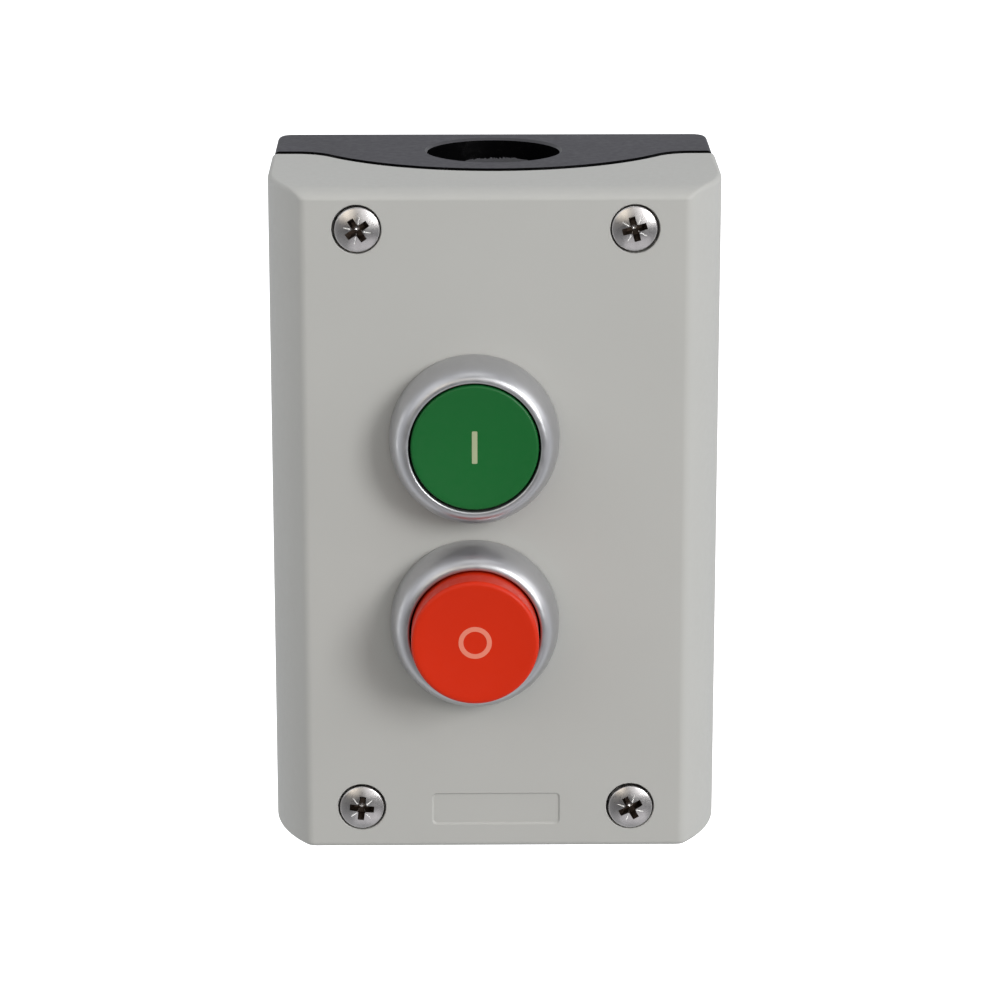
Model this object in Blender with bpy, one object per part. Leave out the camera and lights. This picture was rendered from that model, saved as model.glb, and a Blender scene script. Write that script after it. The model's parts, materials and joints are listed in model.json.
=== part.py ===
"""Two-button START/STOP control station for surface mounting, as an assembly of its separate pieces.

Frame: metres. The back face lies on the wall in the plane Y = 0, the front looks along -Y, Z is up,
and the origin is the centre of the back face. Sizes below are in millimetres.
"""

import math

import bmesh
import bpy
from mathutils import Vector

MM = 0.001

# Enclosure
WIDTH = 80.0
HEIGHT = 120.0
DEPTH = 56.0
WALL = 2.6
FRONT_WALL = 3.0
FLOOR = 2.6
BASE_INSET = 0.25
SIDE_CURVE_START = 38.0
SIDE_CURVE_RADIUS = 28.5
SIDE_CURVE_STEPS = 5
TOP_FRONT_HEIGHT = 1.8
TOP_FRONT_DEPTH = 5.3
EDGE_ROUNDING = 0.9
BACK_CORNER = 2.2
FRONT_EDGE_ROUNDING = 1.0
FRONT_EDGE_STEPS = 2
ROUNDING_STEPS = 3

# Parting line between base and cover: flat at the sides, bulging forward round the cable entries
PARTING_DEPTH = 20.9
BULGE_DEPTH = 37.9
BULGE_RADIUS = 38.0
BULGE_BLEND = 8.0
BULGE_STEPS = 6
BLEND_STEPS = 3
PARTING_GAP = 0.4
GROOVE_INSET = (1.0, 2.1)
GROOVE_DEPTH = 1.0
SEAL_INSET = (1.15, 1.95)
SEAL_DEPTH = 0.75

# Cable entries in the top and bottom walls of the base
ENTRY_DEPTH = 16.0
ENTRY_RADIUS = 12.07
ENTRY_CHAMFER = 0.3
ENTRY_COLLAR_RADIUS = 13.7
ENTRY_COLLAR_END = 52.0
KNOCKOUT_SKIN = 0.9

# Seats in the floor of the base for the contact blocks, as a share of the block's length
SEAT_SHARE = 0.84

# Wall-fixing slots in the floor of the base
FIXING_Z = 47.0
FIXING_RADIUS = 2.4
FIXING_TRAVEL = 4.0
FIXING_LAND_RADIUS = 5.2
FIXING_LAND_DEPTH = 0.8
FIXING_END_STEPS = 10

# Blank sunk field for a label, low on the front face
LABEL_WIDTH = 23.0
LABEL_SPAN = (-55.8, -49.8)
LABEL_DEPTH = 0.35

# Cover screws, each in its own sleeve and boss
SCREW_X = 24.05
SCREW_ROWS = (53.2, -52.4)
BOSS_RADIUS = 4.0
BOSS_TOP = 22.0
SLEEVE_END = 22.4
SLEEVE_BORE = 2.4
COUNTERBORE_RADIUS = 4.3
COUNTERBORE_DEPTH = 2.4
SCREW_HEAD_RADIUS = 3.95
SCREW_HEAD_SEAT = 1.6
SCREW_HEAD_RIM = 0.2
SCREW_HEAD_CROWN = 0.75
SCREW_SHANK_RADIUS = 1.9
SCREW_TIP = 9.0
SCREW_POINT = (0.6, 1.2)
SCREW_CROWN_STEPS = 3
SCREW_SEAL_GAP = 0.15
SCREW_PILOT_RADIUS = 2.2
SCREW_PILOT_END = 7.0
RECESS_ARM = 1.95
RECESS_WIDTH = 0.85
RECESS_DEPTH = 1.9
SCREW_TURNS = (-34.0, -15.0, 6.0, -28.0)

# Push buttons, heights measured forward from the front face of the cover
BUTTON_X = -3.75
START_Z = 16.3
STOP_Z = -17.3
TRAVEL = 4.0
HOLE_RADIUS = 11.25
KEY_WIDTH = 3.2
KEY_REACH = 1.4
BEZEL_RADIUS = 14.85
BEZEL_MOUTH = 11.5
BEZEL_LIP = 11.95
BEZEL_LIP_DROP = 0.45
BEZEL_CROWN_STEPS = 4
BEZEL_SHOULDER = 2.35
BEZEL_HEIGHT = 8.25
BEZEL_BASE = 0.3
BEZEL_SKIRT = 14.3
BEZEL_SKIRT_TOP = 2.1
SEAL_RING = (11.5, 13.9)
SEAL_RING_SPAN = (0.2, 0.6)
FLANGE_RADIUS = 14.0
FLANGE_SPAN = (0.8, 1.9)
COLLAR_RADIUS = 10.9
COLLAR_BORE = 8.7
COLLAR_END = -14.0
COLLAR_LEDGE = -12.8
COLLAR_ROD_HOLE = 4.7
NUT_RADIUS = 14.2
NUT_BORE = 11.15
NUT_SPAN = (-8.2, -3.3)
NUT_NOTCHES = 8
NUT_NOTCH_RADIUS = 1.3
CAP_RADIUS = 11.15
CAP_BACK = 6.2
CAP_ROUNDING = 0.5
START_CAP_FACE = 8.05
STOP_CAP_FACE = 13.8
STOP_CAP_WALL = 1.8
PLUNGER_RADIUS = 8.35
PLUNGER_SHOULDER = -4.0
PLUNGER_ROD_RADIUS = 4.2
PLUNGER_END = -15.7
RETURN_SPRING = (6.5, 0.4, 4.0)
SPRING_GAP = 0.15
COIL_STEPS = 12
COIL_SIDES = 5

# Contact blocks: base-fixed, one behind each button. Depths are measured forward from the wall.
BLOCK_WIDTH = 10.0
BLOCK_LENGTH = 32.0
BLOCK_BACK = 3.9
BLOCK_FRONT = 32.0
BLOCK_WALL = 1.2
BLOCK_SIDE_WALL = 1.3
PLATE_THICKNESS = 1.0
PLATE_GAP = 0.2
PLATE_REBATE = 0.5
PLATE_EDGE = 0.6
SLIT_MARGIN = 1.2
WALL_OVERLAP = 0.5
CENTRE_CHAMBER = 6.9
TERMINAL_CHAMBER = (8.0, 14.7)
TERMINAL_Z = 11.3
TERMINAL_ACCESS_RADIUS = 2.9
WIRE_ENTRY = (4.6, 5.0)
WIRE_ENTRY_RISE = 1.5
STEM_TOP = 40.0
STEM_RADIUS = 2.0
STEM_HOLE = 2.3
STEM_NECK_RADIUS = 1.2
STEM_COLLAR_RADIUS = 3.0
STEM_COLLAR_HEIGHT = 1.2
STEM_TAIL = 1.2
SPRING_SEAT = 5.4
CONTACT_SPRING = (2.3, 0.24)
NO_SPRING_TURNS = 4.5
NC_SPRING_TURNS = 2.5
BRIDGE_LENGTH = 12.8
BRIDGE_WIDTH = 4.2
BRIDGE_THICKNESS = 0.8
BRIDGE_HOLE_RADIUS = 1.45
TIP_Z = 5.2
TIP_RADIUS = 1.2
TIP_HEIGHT = 0.6
STRIP_WIDTH = 4.6
STRIP_THICKNESS = 0.8
STRIP_SPAN = (4.0, 14.0)
CONTACT_GAP = 0.3
NO_BRIDGE_DEPTH = 20.0
NC_BRIDGE_DEPTH = 13.0
CLOSED_DISTANCE = (BRIDGE_THICKNESS + STRIP_THICKNESS) / 2.0 + 2.0 * TIP_HEIGHT + CONTACT_GAP
NO_STRIP_DEPTH = NO_BRIDGE_DEPTH - CLOSED_DISTANCE - TRAVEL
NC_STRIP_DEPTH = NC_BRIDGE_DEPTH + CLOSED_DISTANCE
CLAMP_SIZE = 5.2
CLAMP_THICKNESS = 1.0
TERMINAL_HEAD_RADIUS = 2.6
TERMINAL_HEAD_HEIGHT = 1.9
TERMINAL_SHANK_RADIUS = 1.5
TERMINAL_SHANK_LENGTH = 5.0
TERMINAL_SLOT = (0.9, 0.9)
TERMINAL_HOLE_RADIUS = 1.8
PIECE_GAP = 0.25

# How far a cutting tool runs past the surface it cuts
OVERRUN = 1.0


# ---------------------------------------------------------------- materials

PALETTE = {
    "cover_grey": ((0.46, 0.45, 0.42), 0.45, 0.0),
    "base_black": ((0.032, 0.032, 0.036), 0.5, 0.0),
    "seal_rubber": ((0.02, 0.02, 0.02), 0.8, 0.0),
    "bright_steel": ((0.62, 0.60, 0.56), 0.25, 1.0),
    "bezel_silver": ((0.58, 0.58, 0.59), 0.35, 0.6),
    "start_green": ((0.016, 0.175, 0.045), 0.4, 0.0),
    "stop_red": ((0.62, 0.035, 0.012), 0.4, 0.0),
    "moulded_black": ((0.04, 0.04, 0.043), 0.5, 0.0),
    "block_grey": ((0.22, 0.225, 0.23), 0.5, 0.0),
    "brass": ((0.72, 0.55, 0.25), 0.35, 1.0),
    "spring_steel": ((0.55, 0.55, 0.55), 0.3, 1.0),
}


def make_materials():
    """One Principled material for each entry of the palette."""
    made = {}
    for name, (colour, roughness, metallic) in PALETTE.items():
        material = bpy.data.materials.new(name)
        material.use_nodes = True
        shader = material.node_tree.nodes["Principled BSDF"]
        shader.inputs["Base Color"].default_value = (*colour, 1.0)
        shader.inputs["Roughness"].default_value = roughness
        shader.inputs["Metallic"].default_value = metallic
        material.diffuse_color = (*colour, 1.0)
        made[name] = material
    return made


# ---------------------------------------------------------------- shape helpers

def add_object(name, bm, material, location=(0.0, 0.0, 0.0)):
    """Turns a bmesh drawn in millimetres into an object in metres."""
    bmesh.ops.recalc_face_normals(bm, faces=bm.faces)
    bmesh.ops.scale(bm, vec=(MM, MM, MM), verts=bm.verts)
    mesh = bpy.data.meshes.new(name)
    bm.to_mesh(mesh)
    bm.free()
    mesh.materials.append(material)
    piece = bpy.data.objects.new(name, mesh)
    piece.location = Vector(location) * MM
    bpy.context.collection.objects.link(piece)
    return piece


def smooth(piece, angle=35.0):
    """Shades a round piece smooth, keeping its real edges sharp."""
    piece.data.shade_smooth()
    piece.data.set_sharp_from_angle(angle=math.radians(angle))
    return piece


def combine(piece, operation, *tools):
    """Applies exact Booleans with the given tool objects, then removes the tools."""
    bpy.context.view_layer.update()
    for tool in tools:
        modifier = piece.modifiers.new("shape", "BOOLEAN")
        modifier.operation = operation
        modifier.solver = "EXACT"
        modifier.object = tool
        tool.hide_render = True
        tool.display_type = "WIRE"
    depsgraph = bpy.context.evaluated_depsgraph_get()
    shaped = bpy.data.meshes.new_from_object(piece.evaluated_get(depsgraph))
    rough = piece.data
    piece.modifiers.clear()
    piece.data = shaped
    shaped.name = rough.name
    bpy.data.meshes.remove(rough)
    for tool in tools:
        bpy.data.objects.remove(tool)
    return piece


def cut(piece, *tools):
    """Takes the tool objects away from a piece."""
    return combine(piece, "DIFFERENCE", *tools)


def join(piece, *tools):
    """Adds the tool objects to a piece as one solid."""
    return combine(piece, "UNION", *tools)


def prism(name, outline, low, high, axis, material, location=(0.0, 0.0, 0.0)):
    """Extrudes a closed outline of (a, b) points along one axis, from low to high.

    Along Z the outline is (x, y); along Y it is (x, z); along X it is (y, z).
    """
    place = {
        "X": lambda a, b, t: (t, a, b),
        "Y": lambda a, b, t: (a, t, b),
        "Z": lambda a, b, t: (a, b, t),
    }[axis]
    bm = bmesh.new()
    first = [bm.verts.new(place(a, b, low)) for a, b in outline]
    last = [bm.verts.new(place(a, b, high)) for a, b in outline]
    bm.faces.new(first)
    bm.faces.new(last)
    count = len(outline)
    for i in range(count):
        j = (i + 1) % count
        bm.faces.new((first[i], first[j], last[j], last[i]))
    return add_object(name, bm, material, location)


def block(name, low, high, material, location=(0.0, 0.0, 0.0)):
    """A rectangular block between two corners."""
    outline = [(low[0], low[2]), (high[0], low[2]), (high[0], high[2]), (low[0], high[2])]
    return prism(name, outline, low[1], high[1], "Y", material, location)


def circle(radius, steps, centre=(0.0, 0.0)):
    """Points on a circle."""
    turn = 2.0 * math.pi / steps
    return [
        (centre[0] + radius * math.cos(i * turn), centre[1] + radius * math.sin(i * turn))
        for i in range(steps)
    ]


def rod(name, radius, low, high, axis, material, centre=(0.0, 0.0), steps=16):
    """A plain cylinder along one axis."""
    return prism(name, circle(radius, steps, centre), low, high, axis, material)


def turned(name, profile, material, location=(0.0, 0.0, 0.0), steps=40):
    """Turns a closed profile of (radius, height) points about an axis along Y; height grows towards -Y."""
    bm = bmesh.new()
    rings = []
    for radius, height in profile:
        if radius < 1e-6:
            rings.append([bm.verts.new((0.0, -height, 0.0))])
            continue
        rings.append([bm.verts.new((x, -height, z)) for x, z in circle(radius, steps)])
    closed = min(radius for radius, _ in profile) > 1e-6
    pairs = len(rings) if closed else len(rings) - 1
    for k in range(pairs):
        near, far = rings[k], rings[(k + 1) % len(rings)]
        for i in range(steps):
            j = (i + 1) % steps
            if len(near) == 1:
                bm.faces.new((near[0], far[i], far[j]))
            elif len(far) == 1:
                bm.faces.new((near[i], far[0], near[j]))
            else:
                bm.faces.new((near[i], far[i], far[j], near[j]))
    return smooth(add_object(name, bm, material, location))


def coil(name, mean_radius, wire_radius, turns, low, high, material, location):
    """A helical spring along Y between two heights, with its end turns inside them."""
    steps = int(turns * COIL_STEPS)
    start = low + wire_radius
    rise = (high - low - 2.0 * wire_radius) / steps
    bm = bmesh.new()
    rings = []
    for i in range(steps + 1):
        angle = 2.0 * math.pi * i / COIL_STEPS
        out = Vector((math.cos(angle), 0.0, math.sin(angle)))
        centre = out * mean_radius + Vector((0.0, -(start + rise * i), 0.0))
        ring = []
        for k in range(COIL_SIDES):
            around = 2.0 * math.pi * k / COIL_SIDES
            offset = out * math.cos(around) + Vector((0.0, math.sin(around), 0.0))
            ring.append(bm.verts.new(centre + offset * wire_radius))
        rings.append(ring)
    for near, far in zip(rings, rings[1:]):
        for k in range(COIL_SIDES):
            m = (k + 1) % COIL_SIDES
            bm.faces.new((near[k], far[k], far[m], near[m]))
    bm.faces.new(rings[0])
    bm.faces.new(list(reversed(rings[-1])))
    return smooth(add_object(name, bm, material, location))


# ---------------------------------------------------------------- enclosure outlines

def shell_outline(inset, back, front):
    """The enclosure seen from above, (x, y) points: flat front and back, curved flanks, drawn in by inset."""
    centre_x = WIDTH / 2.0 - SIDE_CURVE_RADIUS
    radius = SIDE_CURVE_RADIUS - inset
    sweep = math.asin((front - SIDE_CURVE_START) / radius)
    flank = [
        (
            centre_x + radius * math.cos(sweep * i / SIDE_CURVE_STEPS),
            -SIDE_CURVE_START - radius * math.sin(sweep * i / SIDE_CURVE_STEPS),
        )
        for i in range(SIDE_CURVE_STEPS + 1)
    ]
    right = [(WIDTH / 2.0 - inset, -back)] + flank
    left = [(-x, y) for x, y in reversed(right)]
    return right + left


def parting_curve(offset):
    """The parting line seen from above, moved forward by offset: straight, blend, bulge, blend, straight."""
    centre_y = -(BULGE_DEPTH - BULGE_RADIUS)
    line_y = -PARTING_DEPTH
    reach = BULGE_RADIUS + BULGE_BLEND
    blend_y = line_y - BULGE_BLEND
    blend_x = math.sqrt(reach ** 2 - (blend_y - centre_y) ** 2)
    bulge_angle = math.atan2(blend_x, centre_y - blend_y)
    right = []
    for i in range(BULGE_STEPS):
        angle = bulge_angle * i / BULGE_STEPS
        right.append((BULGE_RADIUS * math.sin(angle), centre_y - BULGE_RADIUS * math.cos(angle)))
    for i in range(BLEND_STEPS + 1):
        angle = bulge_angle * (1.0 - i / BLEND_STEPS)
        x = blend_x - BULGE_BLEND * math.sin(angle)
        right.append((x, blend_y + BULGE_BLEND * math.cos(angle)))
    right.append((WIDTH, line_y))
    left = [(-x, y) for x, y in reversed(right[1:])]
    return [(x, y - offset) for x, y in left + right]


def parting_side(name, offset, towards, material):
    """All that lies on one side of the parting line: towards is +1 for the wall and -1 for the front."""
    curve = parting_curve(offset)
    far_y = WIDTH * towards
    outline = curve + [(curve[-1][0], far_y), (curve[0][0], far_y)]
    return prism(name, outline, -HEIGHT, HEIGHT, "Z", material)


def parting_band(name, inset, half_depth, material):
    """A ring along the parting line, inside the wall: between two insets, half_depth either side of it."""
    forward = parting_curve(half_depth)
    backward = parting_curve(-half_depth)
    ring = prism(name, backward + list(reversed(forward)), -HEIGHT, HEIGHT, "Z", material)
    outer = WIDTH / 2.0 - inset[0], HEIGHT / 2.0 - inset[0]
    inner = WIDTH / 2.0 - inset[1], HEIGHT / 2.0 - inset[1]
    keep = block("keep", (-outer[0], -DEPTH, -outer[1]), (outer[0], 0.0, outer[1]), material)
    core = block("core", (-inner[0], -DEPTH, -inner[1]), (inner[0], 0.0, inner[1]), material)
    combine(ring, "INTERSECT", keep)
    return cut(ring, core)


def softened(outline, corner, size):
    """The outline with one of its corners replaced by a short curve."""
    before, point, after = (Vector(outline[(corner + k) % len(outline)]) for k in (-1, 0, 1))
    enter = point + (before - point).normalized() * size
    leave = point + (after - point).normalized() * size
    curve = []
    for i in range(FRONT_EDGE_STEPS + 1):
        t = i / FRONT_EDGE_STEPS
        spot = enter * (1.0 - t) ** 2 + point * 2.0 * t * (1.0 - t) + leave * t ** 2
        curve.append((spot.x, spot.y))
    return outline[:corner] + curve + outline[corner + 1:]


def shell_section(side, front):
    """One cross-section of the enclosure, drawn in at its sides and front, with softened upright edges."""
    outline = shell_outline(side, 0.0, DEPTH - front)
    front_right = SIDE_CURVE_STEPS + 1
    edges = (
        (len(outline) - 1, BACK_CORNER),
        (front_right + 1, FRONT_EDGE_ROUNDING),
        (front_right, FRONT_EDGE_ROUNDING),
        (0, BACK_CORNER),
    )
    for corner, size in edges:
        outline = softened(outline, corner, size)
    return outline


def drawn_in(drop, height, depth):
    """How far behind the full section a rounded edge lies, at a drop from the end face."""
    if drop >= height:
        return 0.0
    return depth * (1.0 - math.sqrt(1.0 - (1.0 - drop / height) ** 2))


def end_levels(inset, front_height, front_depth, end):
    """Heights and sections from one end face (end is +1 at the top, -1 at the bottom) to where it is full."""
    levels = []
    for i in range(ROUNDING_STEPS + 1):
        drop = front_height * (1.0 - math.cos(math.pi / 2.0 * i / ROUNDING_STEPS))
        side = inset + drawn_in(drop, EDGE_ROUNDING, EDGE_ROUNDING)
        front = inset + drawn_in(drop, front_height, front_depth)
        levels.append((end * (HEIGHT / 2.0 - inset - drop), shell_section(side, front)))
    return levels


def rounded_shell(name, inset, material):
    """The whole enclosure as one solid: equal sections up its height, drawn in at both ends to round them."""
    top = end_levels(inset, TOP_FRONT_HEIGHT, TOP_FRONT_DEPTH, 1.0)
    bottom = end_levels(inset, EDGE_ROUNDING, EDGE_ROUNDING, -1.0)
    bm = bmesh.new()
    rings = []
    for z, section in top + list(reversed(bottom)):
        rings.append([bm.verts.new((x, y, z)) for x, y in section])
    for near, far in zip(rings, rings[1:]):
        for i in range(len(near)):
            j = (i + 1) % len(near)
            bm.faces.new((near[i], near[j], far[j], far[i]))
    bm.faces.new(rings[0])
    bm.faces.new(rings[-1])
    return add_object(name, bm, material)


def cavity(name, material):
    """The room inside the enclosure."""
    half = HEIGHT / 2.0 - WALL
    outline = shell_outline(WALL, FLOOR, DEPTH - FRONT_WALL)
    return prism(name, outline, -half, half, "Z", material)


def corner_places():
    """The four cover screws: upper left, upper right, lower left, lower right."""
    return [(x, z) for z in SCREW_ROWS for x in (-SCREW_X, SCREW_X)]


# ---------------------------------------------------------------- enclosure pieces

def make_base(skin):
    """Back box: floor, walls up to the parting line, bosses, cable entries, fixing slots and block seats."""
    base = rounded_shell("base_box", BASE_INSET, skin)
    cut(base, cavity("room", skin))
    cut(base, parting_side("front_side", -PARTING_GAP / 2.0, -1.0, skin))
    cut(base, parting_band("groove", GROOVE_INSET, GROOVE_DEPTH, skin))
    for x, z in corner_places():
        join(base, rod("boss", BOSS_RADIUS, -BOSS_TOP, -FLOOR / 2.0, "Y", skin, (x, z)))
        cut(base, rod("pilot", SCREW_PILOT_RADIUS, -DEPTH, -SCREW_PILOT_END, "Y", skin, (x, z)))
    half_seat = BLOCK_LENGTH * SEAT_SHARE / 2.0
    for z in (START_Z, STOP_Z):
        seat = block(
            "seat",
            (BUTTON_X - BLOCK_WIDTH / 2.0, -BLOCK_BACK + PIECE_GAP, z - half_seat),
            (BUTTON_X + BLOCK_WIDTH / 2.0, -FLOOR / 2.0, z + half_seat),
            skin,
        )
        join(base, seat)
    for side in (1.0, -1.0):
        join(base, entry_collar(side, skin))
        cut(base, *fixing_tools(side, skin))
    cut(base, open_entry(skin))
    cut(base, closed_entry(skin))
    return smooth(base, 25.0)


def entry_collar(side, skin):
    """Collar round a cable entry inside the box, at the top (side +1) or the bottom (side -1)."""
    wall = HEIGHT / 2.0 - BASE_INSET - WALL / 2.0
    low, high = sorted((side * ENTRY_COLLAR_END, side * wall))
    outline = circle(ENTRY_COLLAR_RADIUS, 28, (0.0, -ENTRY_DEPTH))
    outline = [(x, min(y, -FLOOR / 2.0)) for x, y in outline]
    return prism("collar", outline, low, high, "Z", skin)


def open_entry(skin):
    """The open cable entry through the top wall, with a chamfered mouth."""
    top = HEIGHT / 2.0 - BASE_INSET
    profile = [
        (0.0, ENTRY_COLLAR_END - OVERRUN),
        (ENTRY_RADIUS, ENTRY_COLLAR_END - OVERRUN),
        (ENTRY_RADIUS, top - ENTRY_CHAMFER),
        (ENTRY_RADIUS + 2.0 * ENTRY_CHAMFER, top + ENTRY_CHAMFER),
        (0.0, top + ENTRY_CHAMFER),
    ]
    bore = turned("bore", profile, skin, (0.0, -ENTRY_DEPTH, 0.0), steps=32)
    bore.rotation_euler = (-math.pi / 2.0, 0.0, 0.0)
    return bore


def closed_entry(skin):
    """The closed entry in the bottom wall: a blind bore from inside leaves a thin skin to knock out."""
    skin_top = -(HEIGHT / 2.0 - BASE_INSET - KNOCKOUT_SKIN)
    centre = (0.0, -ENTRY_DEPTH)
    return rod("blind", ENTRY_RADIUS, skin_top, -ENTRY_COLLAR_END + OVERRUN, "Z", skin, centre, 28)


def fixing_tools(side, skin):
    """A slot for a wall screw with a sunk land for its head, on the centre line."""
    front = -FLOOR - OVERRUN
    tools = []
    for radius, back in ((FIXING_RADIUS, OVERRUN), (FIXING_LAND_RADIUS, -FLOOR + FIXING_LAND_DEPTH)):
        outline = slot_outline(radius, FIXING_TRAVEL, side * FIXING_Z)
        tools.append(prism("slot", outline, front, back, "Y", skin))
    return tools


def slot_outline(radius, travel, centre_z):
    """An upright slot with round ends."""
    turn = math.pi / FIXING_END_STEPS
    upper = [
        (radius * math.cos(i * turn), centre_z + travel / 2.0 + radius * math.sin(i * turn))
        for i in range(FIXING_END_STEPS + 1)
    ]
    lower = [(-x, 2.0 * centre_z - z) for x, z in upper]
    return upper + lower


def make_cover(skin):
    """Front shell: curved flanks, two keyed button holes, four screw sleeves and a blank sunk label field."""
    cover = rounded_shell("cover", 0.0, skin)
    cut(cover, cavity("room", skin))
    cut(cover, parting_side("wall_side", PARTING_GAP / 2.0, 1.0, skin))
    cut(cover, parting_band("groove", GROOVE_INSET, GROOVE_DEPTH, skin))
    inner_face = DEPTH - FRONT_WALL / 2.0
    for x, z in corner_places():
        join(cover, rod("sleeve", BOSS_RADIUS, -inner_face, -SLEEVE_END, "Y", skin, (x, z)))
        cut(cover, rod("bore", SLEEVE_BORE, -DEPTH - OVERRUN, 0.0, "Y", skin, (x, z)))
        seat = DEPTH - COUNTERBORE_DEPTH
        cut(cover, rod("seat", COUNTERBORE_RADIUS, -DEPTH - OVERRUN, -seat, "Y", skin, (x, z), steps=24))
    for z in (START_Z, STOP_Z):
        front, back = -DEPTH - OVERRUN, -DEPTH + FRONT_WALL + OVERRUN
        hole = rod("hole", HOLE_RADIUS, front, back, "Y", skin, (BUTTON_X, z), 32)
        half_key = KEY_WIDTH / 2.0
        key = block(
            "key",
            (BUTTON_X - half_key, front, z),
            (BUTTON_X + half_key, back, z + HOLE_RADIUS + KEY_REACH),
            skin,
        )
        cut(cover, hole)
        cut(cover, key)
    half_label = LABEL_WIDTH / 2.0
    low_z, high_z = LABEL_SPAN
    label = block(
        "label", (-half_label, -DEPTH - OVERRUN, low_z), (half_label, -DEPTH + LABEL_DEPTH, high_z), skin
    )
    cut(cover, label)
    return smooth(cover, 25.0)


def make_cover_seal(rubber):
    """Elastic seal lying in the groove between base and cover."""
    seal = parting_band("cover_seal", SEAL_INSET, SEAL_DEPTH, rubber)
    return smooth(seal, 25.0)


def make_cover_screw(index, x, z, turn, steel):
    """Raised-head screw with a cross recess and the marks between its arms."""
    seat = -SCREW_HEAD_SEAT
    profile = [
        (0.0, -(DEPTH - SCREW_TIP)),
        (SCREW_SHANK_RADIUS * SCREW_POINT[0], -(DEPTH - SCREW_TIP)),
        (SCREW_SHANK_RADIUS, -(DEPTH - SCREW_TIP) + SCREW_POINT[1]),
        (SCREW_SHANK_RADIUS, seat),
        (SCREW_HEAD_RADIUS, seat),
        (SCREW_HEAD_RADIUS, SCREW_HEAD_RIM),
    ]
    for i in range(1, SCREW_CROWN_STEPS):
        share = i / SCREW_CROWN_STEPS
        rise = SCREW_HEAD_CROWN * (1.0 - (1.0 - share) ** 2)
        profile.append((SCREW_HEAD_RADIUS * (1.0 - share), SCREW_HEAD_RIM + rise))
    profile.append((0.0, SCREW_HEAD_RIM + SCREW_HEAD_CROWN))
    screw = turned(f"cover_screw_{index}", profile, steel, (x, -DEPTH, z), steps=18)
    top = SCREW_HEAD_RIM + SCREW_HEAD_CROWN + OVERRUN
    bottom = SCREW_HEAD_RIM + SCREW_HEAD_CROWN - RECESS_DEPTH
    half = RECESS_WIDTH / 2.0
    arms = block("arm", (-RECESS_ARM, -top, -half), (RECESS_ARM, -bottom, half), steel)
    join(arms, block("arm", (-half, -top, -RECESS_ARM), (half, -bottom, RECESS_ARM), steel))
    arms.location = screw.location
    arms.rotation_euler = (0.0, math.radians(turn), 0.0)
    return smooth(cut(screw, arms))


def make_screw_seal(index, x, z, rubber):
    """Washer seal under a cover screw's head."""
    inner, outer = SCREW_SHANK_RADIUS + SCREW_SEAL_GAP, SCREW_HEAD_RADIUS
    low, high = -COUNTERBORE_DEPTH + SCREW_SEAL_GAP, -SCREW_HEAD_SEAT - SCREW_SEAL_GAP
    profile = [(inner, low), (outer, low), (outer, high), (inner, high)]
    return turned(f"screw_seal_{index}", profile, rubber, (x, -DEPTH, z), steps=14)


# ---------------------------------------------------------------- button pieces

def make_bezel(name, place, metal):
    """Front ring: straight foot, crowned shoulder, rounded lip, and a skirt over the flange and seal."""
    width = BEZEL_RADIUS - BEZEL_LIP
    rise = BEZEL_HEIGHT - BEZEL_SHOULDER
    crown = [
        (
            BEZEL_LIP + width * math.cos(math.pi / 2.0 * i / BEZEL_CROWN_STEPS),
            BEZEL_SHOULDER + rise * math.sin(math.pi / 2.0 * i / BEZEL_CROWN_STEPS),
        )
        for i in range(BEZEL_CROWN_STEPS + 1)
    ]
    profile = [
        (BEZEL_SKIRT, BEZEL_BASE),
        (BEZEL_RADIUS, BEZEL_BASE),
        *crown,
        (BEZEL_MOUTH, BEZEL_HEIGHT - BEZEL_LIP_DROP),
        (BEZEL_MOUTH, BEZEL_SKIRT_TOP),
        (BEZEL_SKIRT, BEZEL_SKIRT_TOP),
    ]
    return turned(name, profile, metal, place, steps=36)


def make_panel_seal(name, place, rubber):
    """Flat seal between the flange and the cover."""
    inner, outer = SEAL_RING
    low, high = SEAL_RING_SPAN
    profile = [(inner, low), (outer, low), (outer, high), (inner, high)]
    return turned(name, profile, rubber, place, steps=24)


def make_collar(name, place, plastic):
    """Threaded collar with its flange outside the cover and a ledge inside for the return spring."""
    profile = [
        (COLLAR_ROD_HOLE, COLLAR_END),
        (COLLAR_RADIUS, COLLAR_END),
        (COLLAR_RADIUS, FLANGE_SPAN[0]),
        (FLANGE_RADIUS, FLANGE_SPAN[0]),
        (FLANGE_RADIUS, FLANGE_SPAN[1]),
        (COLLAR_BORE, FLANGE_SPAN[1]),
        (COLLAR_BORE, COLLAR_LEDGE),
        (COLLAR_ROD_HOLE, COLLAR_LEDGE),
    ]
    return turned(name, profile, plastic, place, steps=24)


def make_ring_nut(name, place, plastic):
    """Fixing nut behind the front wall, with gripping notches round its edge."""
    low, high = NUT_SPAN
    profile = [(NUT_BORE, low), (NUT_RADIUS, low), (NUT_RADIUS, high), (NUT_BORE, high)]
    nut = turned(name, profile, plastic, place, steps=24)
    notches = []
    for i in range(NUT_NOTCHES):
        angle = 2.0 * math.pi * (i + 0.5) / NUT_NOTCHES
        centre = (NUT_RADIUS * math.cos(angle), NUT_RADIUS * math.sin(angle))
        notch = rod("notch", NUT_NOTCH_RADIUS, -high - OVERRUN, -low + OVERRUN, "Y", plastic, centre, steps=6)
        notch.location = nut.location
        notches.append(notch)
    return smooth(cut(nut, *notches))


def make_start_cap(place, plastic):
    """Flush button plate."""
    face = START_CAP_FACE
    profile = [
        (0.0, CAP_BACK),
        (CAP_RADIUS, CAP_BACK),
        (CAP_RADIUS, face - CAP_ROUNDING),
        (CAP_RADIUS - CAP_ROUNDING * 0.3, face - CAP_ROUNDING * 0.3),
        (CAP_RADIUS - CAP_ROUNDING, face),
        (0.0, face),
    ]
    return turned("start_cap", profile, plastic, place, steps=36)


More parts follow.
